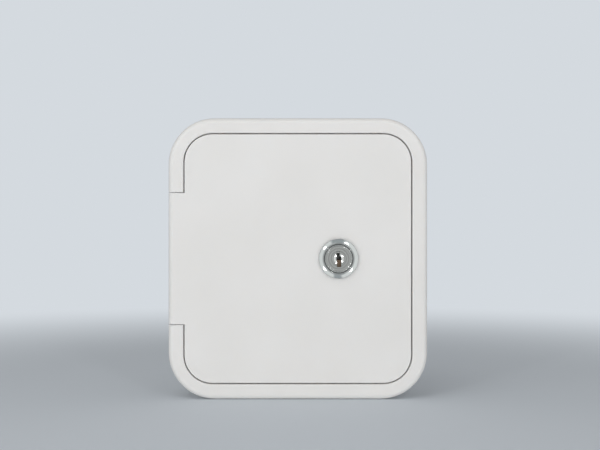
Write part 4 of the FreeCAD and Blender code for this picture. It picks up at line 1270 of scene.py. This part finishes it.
@dataclass
class CamLock:
    """The lock: ring and barrel, plug, wafers and cam.

    The ring's face and edge are outlines as (radius, depth under the ring's top).
    """

    wardrobe: Wardrobe
    ring_under: float = 11.6
    ring_top: float = 14.0
    face: tuple[Point, ...] = ((6.56, 2.0), (8.8, 2.0), (8.8, 1.25), (8.95, 1.1), (10.1, 0.1),
                               (10.3, 0.0))
    dome_wide: float = 2.05
    dome_drop: float = 0.75
    dome_bend: float = 1.25
    dome_steps: int = 8
    edge: tuple[Point, ...] = ((12.56, 0.9), (12.68, 1.12), (12.7, 1.4))
    edge_break: float = 0.15
    relief: float = 0.4
    barrel: ThreadForm = ThreadForm(crest=9.5, root=8.95, pitch=1.0)
    barrel_end: float = -9.0
    rows_per_pitch: int = 8
    flat: float = 8.1
    nut_front: float = 4.4
    nut_thick: float = 4.0
    nut_half: float = 12.0
    nut_bore: tuple[Point, ...] = ((9.55, 0.3), (9.9, 0.0), (11.4, 0.0))
    nut_steps: tuple[float, ...] = (0.0, 0.12, 0.3, 0.55, 0.85, 1.2)
    nut_chamfer: float = 0.25
    nut_slope: float = 1.75
    segments: int = 144
    cam_screw_under: float = -13.4
    tail: CrossScrew = CrossScrew(
        head_radius=4.2, head_tall=2.6, thread=ThreadForm(crest=2.0, root=1.62, pitch=0.7),
        long=6.8, point=0.0, arm=1.9, slot_wide=0.9, facing=-1)
    solids: dict[str, str] = field(default_factory=lambda: {
        "lock_gasket": "seal_rubber",
        "lock_washer": "zinc_steel",
        "lock_plug": "plug_metal",
        "tumbler_wafers": "wafer_brass",
        "stop_washer": "zinc_steel",
        "cam": "zinc_steel",
        "cam_washer": "zinc_steel",
    })
    stamped: tuple[str, ...] = ("cam", "stop_washer", "lock_washer", "cam_washer")
    stamped_edge: float = 0.15

    def build(self) -> None:
        """Make and dress every piece."""
        self.wardrobe.dress_solids(self.solids)
        for node in self.stamped:
            soften(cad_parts[node], self.stamped_edge)
        self.make_ring_and_barrel()
        self.make_nut()
        screw = self.tail.make("cam_screw_threaded", LOCK_RIGHT, 0.0, self.cam_screw_under)
        self.wardrobe.add(screw, "zinc_steel", Body.CORE, "cam_screw")

    def make_ring_and_barrel(self) -> None:
        """Turn the ring with its gently domed face, and thread the flatted barrel."""
        top, under = self.ring_top, self.ring_under
        bore, inner, outer = self.face[0][0], self.face[-1][0], self.edge[-1][0]
        rings = [(radius, top - deep) for radius, deep in self.face]
        for step in range(1, self.dome_steps + 1):
            share = step / self.dome_steps
            rings.append((inner + self.dome_wide * share,
                          top - self.dome_drop * share ** self.dome_bend))
        rings += [(radius, top - deep) for radius, deep in self.edge]
        rings += [(outer, under + self.edge_break), (outer - self.edge_break, under),
                  (self.barrel.crest, under), (self.barrel.crest, under - self.relief)]
        start = under - self.relief
        rows = int((start - self.barrel_end) / self.barrel.pitch * self.rows_per_pitch)
        rings += [(self.barrel.root, start - (start - self.barrel_end) * row / rows)
                  for row in range(rows + 1)]
        rings.append((bore, self.barrel_end))

        def milled(radius: float, level: float, angle: float) -> float:
            """Give the barrel its thread and its two flats.

            Args:
                radius: the outline's radius; the root's is where the thread runs.
                level: the level there.
                angle: the place round the axis, in radians.

            Returns:
                The radius there.
            """
            if level > under - self.relief / 2 or radius == bore:
                return radius
            reach = self.barrel.reach(level, angle) if radius == self.barrel.root else radius
            across = abs(math.cos(angle))
            return min(reach, self.flat / across) if across > 0.1 else reach

        draft = Draft()
        draft.turned(rings, LOCK_RIGHT, 0.0, self.segments, milled, closed=True)
        piece = draft.make("lock_ring_and_barrel", 38.0)
        self.wardrobe.add(piece, "lock_chrome", Body.DOOR, "lock_body")

    def make_nut(self) -> None:
        """Make the chamfered hexagonal nut with its threaded bore."""
        front, back = self.nut_front, self.nut_front - self.nut_thick
        corner = self.nut_half * 2
        rings = [(radius, front - deep) for radius, deep in self.nut_bore]
        rings += [(corner, front - deep) for deep in self.nut_steps]
        rings += [(corner, back + deep) for deep in reversed(self.nut_steps)]
        rings += [(radius, back + deep) for radius, deep in reversed(self.nut_bore)]

        def hexagon(radius: float, level: float, angle: float) -> float:
            """Give the outer rings their six flats and chamfers.

            Args:
                radius: the outline's radius; the corner's is where the flats are.
                level: the level there.
                angle: the place round the axis, in radians.

            Returns:
                The radius there.
            """
            if radius < corner:
                return radius
            sector = TURN / 6
            off = (angle + sector / 2) % sector - sector / 2
            deep = min(front - level, level - back)
            chamfer = self.nut_half - self.nut_chamfer + deep * self.nut_slope
            return min(self.nut_half / math.cos(off), chamfer)

        draft = Draft()
        draft.turned(rings, LOCK_RIGHT, 0.0, self.segments, hexagon, closed=True)
        piece = draft.make("lock_hex_nut", 22.0)
        self.wardrobe.add(piece, "zinc_steel", Body.DOOR, "lock_nut")


@dataclass
class FillerCap:
    """The screw cap over the filler neck."""

    wardrobe: Wardrobe
    inner: float = 21.1
    thread_high: float = 1.0
    thread_pitch: float = 5.0
    thread_turns: float = 1.6
    thread_start: float = 6.7
    ceiling: float = -25.4
    rivet_under: float = -20.0
    rivet_head: float = 5.5
    rivet_tall: float = 1.6
    rivet_lip: float = 0.35
    rivet_shank: float = 1.6
    rivet_long: float = 3.9
    rivet_edge: float = 0.1
    rivet_steps: int = 8
    solids: dict[str, str] = field(default_factory=lambda: {
        "fill_cap": "black_plastic",
        "cap_gasket": "seal_rubber",
    })

    def build(self) -> None:
        """Make and dress every piece."""
        self.wardrobe.dress_solids(self.solids)
        ridge = HelixRidge(self.inner, self.inner - self.thread_high, self.thread_pitch,
                           self.thread_turns)
        piece = ridge.make("cap_thread", CAP_RIGHT, CAP_UP, self.ceiling - self.thread_start)
        self.wardrobe.add(piece, "black_plastic", Body.CAP)
        self.make_rivet()

    def make_rivet(self) -> None:
        """Turn the push rivet with its domed head."""
        under, head, shank = self.rivet_under, self.rivet_head, self.rivet_shank
        end = under - self.rivet_long
        rings = [(0.0, under + self.rivet_tall)]
        for step in range(1, self.rivet_steps + 1):
            angle = TURN / 4 * step / self.rivet_steps
            dome = (self.rivet_tall - self.rivet_lip) * math.cos(angle)
            rings.append((head * math.sin(angle), under + self.rivet_lip + dome))
        rings += [(head, under + self.rivet_edge), (head - self.rivet_edge, under),
                  (shank, under), (shank, end), (0.0, end)]
        draft = Draft()
        draft.turned(rings, CAP_RIGHT, CAP_UP, 48)
        piece = draft.make("strap_push_rivet", 40.0)
        self.wardrobe.add(piece, "black_plastic", Body.CAP, "strap_rivet")


@dataclass
class CapTether:
    """The strap that keeps the cap on the hatch and bends as the cap lifts."""

    wardrobe: Wardrobe
    thick: float = 1.8
    half: float = 4.5
    eye: float = 7.0
    eye_hole: float = 3.3
    anchor_eye: float = 5.5
    anchor_hole: float = 1.8
    top: float = -21.2
    low: float = -40.2
    edge: float = 27.4
    bend: float = 4.0
    bend_steps: int = 10
    step_long: float = 0.5
    least: float = 0.4
    edge_round: float = 0.35
    shares: tuple[float, ...] = (0.0, 0.3, 0.7, 0.93, 1.0)

    def route(self) -> list[Point]:
        """Give the strap's middle line.

        Returns:
            Points as (distance below the cap's axis, level), in small steps.
        """
        bend = self.bend
        turns = [TURN / 4 * step / self.bend_steps for step in range(1, self.bend_steps + 1)]
        points = [(-self.eye, self.top)]
        points += self.walk(points[-1], (self.edge - bend, self.top))
        points += [(self.edge - bend + bend * math.sin(turn),
                    self.top - bend + bend * math.cos(turn)) for turn in turns]
        points += self.walk(points[-1], (self.edge, self.low + bend))
        points += [(self.edge + bend - bend * math.cos(turn),
                    self.low + bend - bend * math.sin(turn)) for turn in turns]
        return points + self.walk(points[-1], (ANCHOR_DROP + self.anchor_eye, self.low))

    def walk(self, here: Point, there: Point) -> list[Point]:
        """Go straight from one point to another in small steps.

        Args:
            here: the start, which isn't given again.
            there: the end.

        Returns:
            The points after the start.
        """
        count = max(int(math.dist(here, there) / self.step_long), 1)
        return [between(here, there, step / count) for step in range(1, count + 1)]

    def widths(self, drop: float, level: float) -> tuple[float, float]:
        """Give the strap's half width and its hole's half width.

        Args:
            drop: the distance below the cap's axis.
            level: the level there.

        Returns:
            Both in millimetres.
        """
        wide, hole = self.half, 0.0
        if level > self.top - 0.1 and abs(drop) < self.eye:
            bulge = math.sqrt(self.eye ** 2 - drop ** 2)
            wide = bulge if drop < 0 else max(self.half, bulge)
            hole = math.sqrt(max(self.eye_hole ** 2 - drop ** 2, 0.0))
        if level < self.low + 0.1 and drop > self.edge:
            off = drop - ANCHOR_DROP
            bulge = math.sqrt(max(self.anchor_eye ** 2 - off ** 2, 0.0))
            wide = bulge if off > 0 else max(self.half, bulge)
            hole = math.sqrt(max(self.anchor_hole ** 2 - off ** 2, 0.0))
        return max(wide, self.least), hole

    def build(self) -> None:
        """Make the strap, shaped with its bends between the frame and the lifted cap."""
        draft = Draft()
        left, right = [], []
        for drop, level in self.route():
            wide, hole = self.widths(drop, level)
            for side, rows in ((-1, left), (1, right)):
                rows.append(draft.add([
                    spot(CAP_RIGHT + side * (hole + (wide - hole) * share), CAP_UP - drop, level)
                    for share in self.shares]))
        draft.skin(left, round_rows=False)
        draft.skin(right, round_rows=False)
        piece = draft.make("cap_tether_strap", 60.0)
        weld(piece)
        thicken = piece.modifiers.new("thick", "SOLIDIFY")
        thicken.thickness = self.thick * MM
        thicken.offset = 0.0
        thicken.use_even_offset = True
        soften(piece, self.edge_round)
        self.wardrobe.add(piece, "strap_plastic", None, "cap_strap")
        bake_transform(piece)


# Studio


class Lamp(Enum):
    """The lamps in front, by their place.

    Each place is two angles: turned from right to up, and off the view's line, in degrees.
    """

    UPPER_RIGHT = (57.0, 37.0)
    UPPER_LEFT = (142.0, 37.0)
    LOWER_LEFT = (221.0, 37.0)
    LOWER_RIGHT = (319.0, 37.0)


@dataclass
class Studio:
    """The floor, the lamps, the pale surroundings and the camera.

    Distances and sides of lamps are in metres, their powers in watts.
    """

    pixels_wide: float = 600.0
    pixels_per_mm: float = 1.574
    centre_pixel: Point = (297.85, 258.65)
    middle_pixel: Point = (300.0, 225.0)
    lens: float = 60.0
    sensor: float = 36.0
    face_level: float = 11.0
    backdrop: Colour = (0.66, 0.70, 0.74)
    mirror_sides: Colour = (0.76, 0.78, 0.77)
    mirror_dark: Colour = (0.36, 0.39, 0.40)
    mirror_level: Colour = (0.30, 0.31, 0.31)
    mirror_ahead: Colour = (0.36, 0.37, 0.365)
    dark_above: Range = (0.90, 0.955)
    dark_below: Range = (-0.965, -0.99)
    level_fade: Range = (0.25, 0.6)
    ahead_fade: Range = (0.88, 0.96)
    ambient: Colour = (0.97, 0.985, 1.0)
    ambient_strength: float = 0.42
    lamp_far: float = 1.25
    lamp_wide: float = 0.13
    lamp_power: float = 0.9
    overhead_way: tuple[float, float, float] = (-0.35, -0.55, 0.9)
    overhead_far: float = 1.3
    overhead_wide: float = 0.9
    overhead_power: float = 2.5
    fill_far: float = 0.9
    fill_wide: float = 0.16
    fill_power: float = 1.6
    floor_gap: float = 0.0002
    floor_half: float = 3.0
    floor_fade: Range = (0.22, 0.75)

    def build(self) -> None:
        """Set up everything round the hatch."""
        bpy.context.scene.view_settings.view_transform = "Standard"
        self.make_camera()
        self.make_world()
        self.make_floor()
        for lamp in Lamp:
            self.make_lamp(lamp)
        self.make_overhead()
        self.make_fill()

    def make_camera(self) -> None:
        """Stand the camera straight in front, where the photograph was taken."""
        wide_mm = self.pixels_wide / self.pixels_per_mm
        far_mm = wide_mm * self.lens / self.sensor
        right = (self.middle_pixel[0] - self.centre_pixel[0]) / self.pixels_per_mm
        up = (self.centre_pixel[1] - self.middle_pixel[1]) / self.pixels_per_mm
        data = bpy.data.cameras.new("camera")
        data.lens = self.lens
        data.sensor_width = self.sensor
        camera = bpy.data.objects.new("camera", data)
        camera.location = spot(right, up, self.face_level + far_mm)
        camera.rotation_euler = (math.radians(90), 0, 0)
        bpy.context.scene.collection.objects.link(camera)
        bpy.context.scene.camera = camera
        log.info("camera %.0f mm away", far_mm)

    def make_world(self) -> None:
        """Make the soft light, the pale background and a room for metal to mirror."""
        world = bpy.data.worlds.new("pale_room")
        bpy.context.scene.world = world
        world.use_nodes = True
        graph = Graph(world.node_tree)
        soft = graph.tree.nodes["Background"]
        soft.inputs["Color"].default_value = (*self.ambient, 1.0)
        soft.inputs["Strength"].default_value = self.ambient_strength
        plain = graph.node("ShaderNodeBackground")
        plain.inputs["Color"].default_value = (*self.backdrop, 1.0)
        mirrored = graph.node("ShaderNodeBackground")
        graph.join(self.room(graph), mirrored.inputs["Color"])
        path = graph.node("ShaderNodeLightPath").outputs
        shown = graph.sum("MAXIMUM", path["Is Camera Ray"], path["Is Transmission Ray"])
        lit = graph.mixed_shaders(path["Is Glossy Ray"], soft.outputs[0], mirrored.outputs[0])
        lit = graph.mixed_shaders(shown, lit, plain.outputs[0])
        graph.join(lit, graph.tree.nodes["World Output"].inputs["Surface"])

    def room(self, graph: Graph) -> Socket:
        """Shade the room that metal mirrors.

        It is pale to the sides, and darker ahead, overhead, underfoot and level with the wall.

        Args:
            graph: the world's nodes.

        Returns:
            The room's colour along a direction.
        """
        split = graph.node("ShaderNodeSeparateXYZ")
        graph.join(graph.node("ShaderNodeTexCoord").outputs["Generated"], split.inputs[0])
        ahead = graph.sum("MULTIPLY", split.outputs["Y"], -1.0)
        across = graph.sum("SQRT", graph.sum("SUBTRACT", 1.0001, graph.sum("POWER", ahead, 2.0)))
        rise = graph.sum("DIVIDE", split.outputs["Z"], across)
        above = graph.spread(rise, *self.dark_above, 0.0, 1.0)
        below = graph.spread(rise, *self.dark_below, 0.0, 1.0)
        dark = graph.sum("MAXIMUM", above, below)
        sides = graph.mixed(dark, self.mirror_sides, self.mirror_dark)
        level = graph.spread(ahead, *self.level_fade, 0.0, 1.0)
        middle = graph.spread(ahead, *self.ahead_fade, 0.0, 1.0)
        wall = graph.mixed(level, self.mirror_level, sides)
        return graph.mixed(middle, wall, self.mirror_ahead)

    def make_floor(self) -> None:
        """Lay a pale floor that fades into the surroundings."""
        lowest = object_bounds()[0].z - self.floor_gap
        half = self.floor_half
        draft = Draft()
        corners = draft.add([Vector((x * half, y * half, lowest))
                             for x, y in ((-1, -1), (1, -1), (1, 1), (-1, 1))])
        draft.faces.append(tuple(corners))
        floor = draft.make("floor")
        paint = Paint("pale_floor")
        paint.set(base_color=(*self.backdrop, 1.0), roughness=0.85, specular_ior_level=0.1)
        far = paint.node("ShaderNodeVectorMath", operation="LENGTH")
        paint.join(paint.shift(Vector(), Vector((1, 1, 0))), far.inputs[0])
        fade = paint.spread(far.outputs["Value"], *self.floor_fade, 0.0, 1.0, smooth=True)
        glow = paint.node("ShaderNodeEmission")
        glow.inputs["Color"].default_value = (*self.backdrop, 1.0)
        mix = paint.mixed_shaders(fade, paint.shader.outputs[0], glow.outputs[0])
        paint.join(mix, paint.tree.nodes["Material Output"].inputs["Surface"])
        floor.data.materials.append(paint.material)
        floor.visible_glossy = False
        floor.visible_shadow = False
        floor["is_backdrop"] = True

    def make_lamp(self, lamp: Lamp) -> None:
        """Hang one square lamp in front, aimed at the hatch.

        Args:
            lamp: which lamp it is.
        """
        turned, off = (math.radians(number) for number in lamp.value)
        way = Vector((math.cos(turned) * math.sin(off), -math.cos(off),
                      math.sin(turned) * math.sin(off)))
        self.hang(lamp.name.lower(), way, self.lamp_far, self.lamp_wide, self.lamp_power)

    def make_overhead(self) -> None:
        """Hang a large soft light above and behind the camera's left."""
        way = Vector(self.overhead_way).normalized()
        lamp = self.hang("overhead", way, self.overhead_far, self.overhead_wide,
                         self.overhead_power)
        lamp.visible_glossy = False

    def make_fill(self) -> None:
        """Hang a soft light behind the camera, which reaches into the seam."""
        lamp = self.hang("fill", Vector((0, -1, 0)), self.fill_far, self.fill_wide,
                         self.fill_power)
        lamp.visible_glossy = False

    def hang(self, name: str, way: Vector, far: float, wide: float, power: float) -> Piece:
        """Hang a square lamp that faces the hatch.

        Args:
            name: its name.
            way: the direction from the hatch to it.
            far: its distance in metres.
            wide: its side in metres.
            power: its power in watts.

        Returns:
            The lamp.
        """
        data = bpy.data.lights.new(name, "AREA")
        data.shape = "SQUARE"
        data.size = wide
        data.energy = power
        lamp = bpy.data.objects.new(name, data)
        lamp.location = way * far
        lamp.rotation_mode = "QUATERNION"
        lamp.rotation_quaternion = (-way).to_track_quat("-Z", "Y")
        bpy.context.scene.collection.objects.link(lamp)
        return lamp


def main() -> None:
    """Build the hatch's sub-assemblies in order, and the studio round them."""
    logging.basicConfig(level=logging.INFO, format="%(name)s %(message)s")
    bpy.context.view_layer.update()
    wardrobe = Wardrobe(FINISHES)
    for part in (HatchFrame(wardrobe), HatchDoor(wardrobe), CamLock(wardrobe), FillerCap(wardrobe),
                 CapTether(wardrobe)):
        part.build()
        log.info("built %s", type(part).__name__)
    Studio().build()
    bpy.context.view_layer.update()


if __name__ == "__main__":
    main()
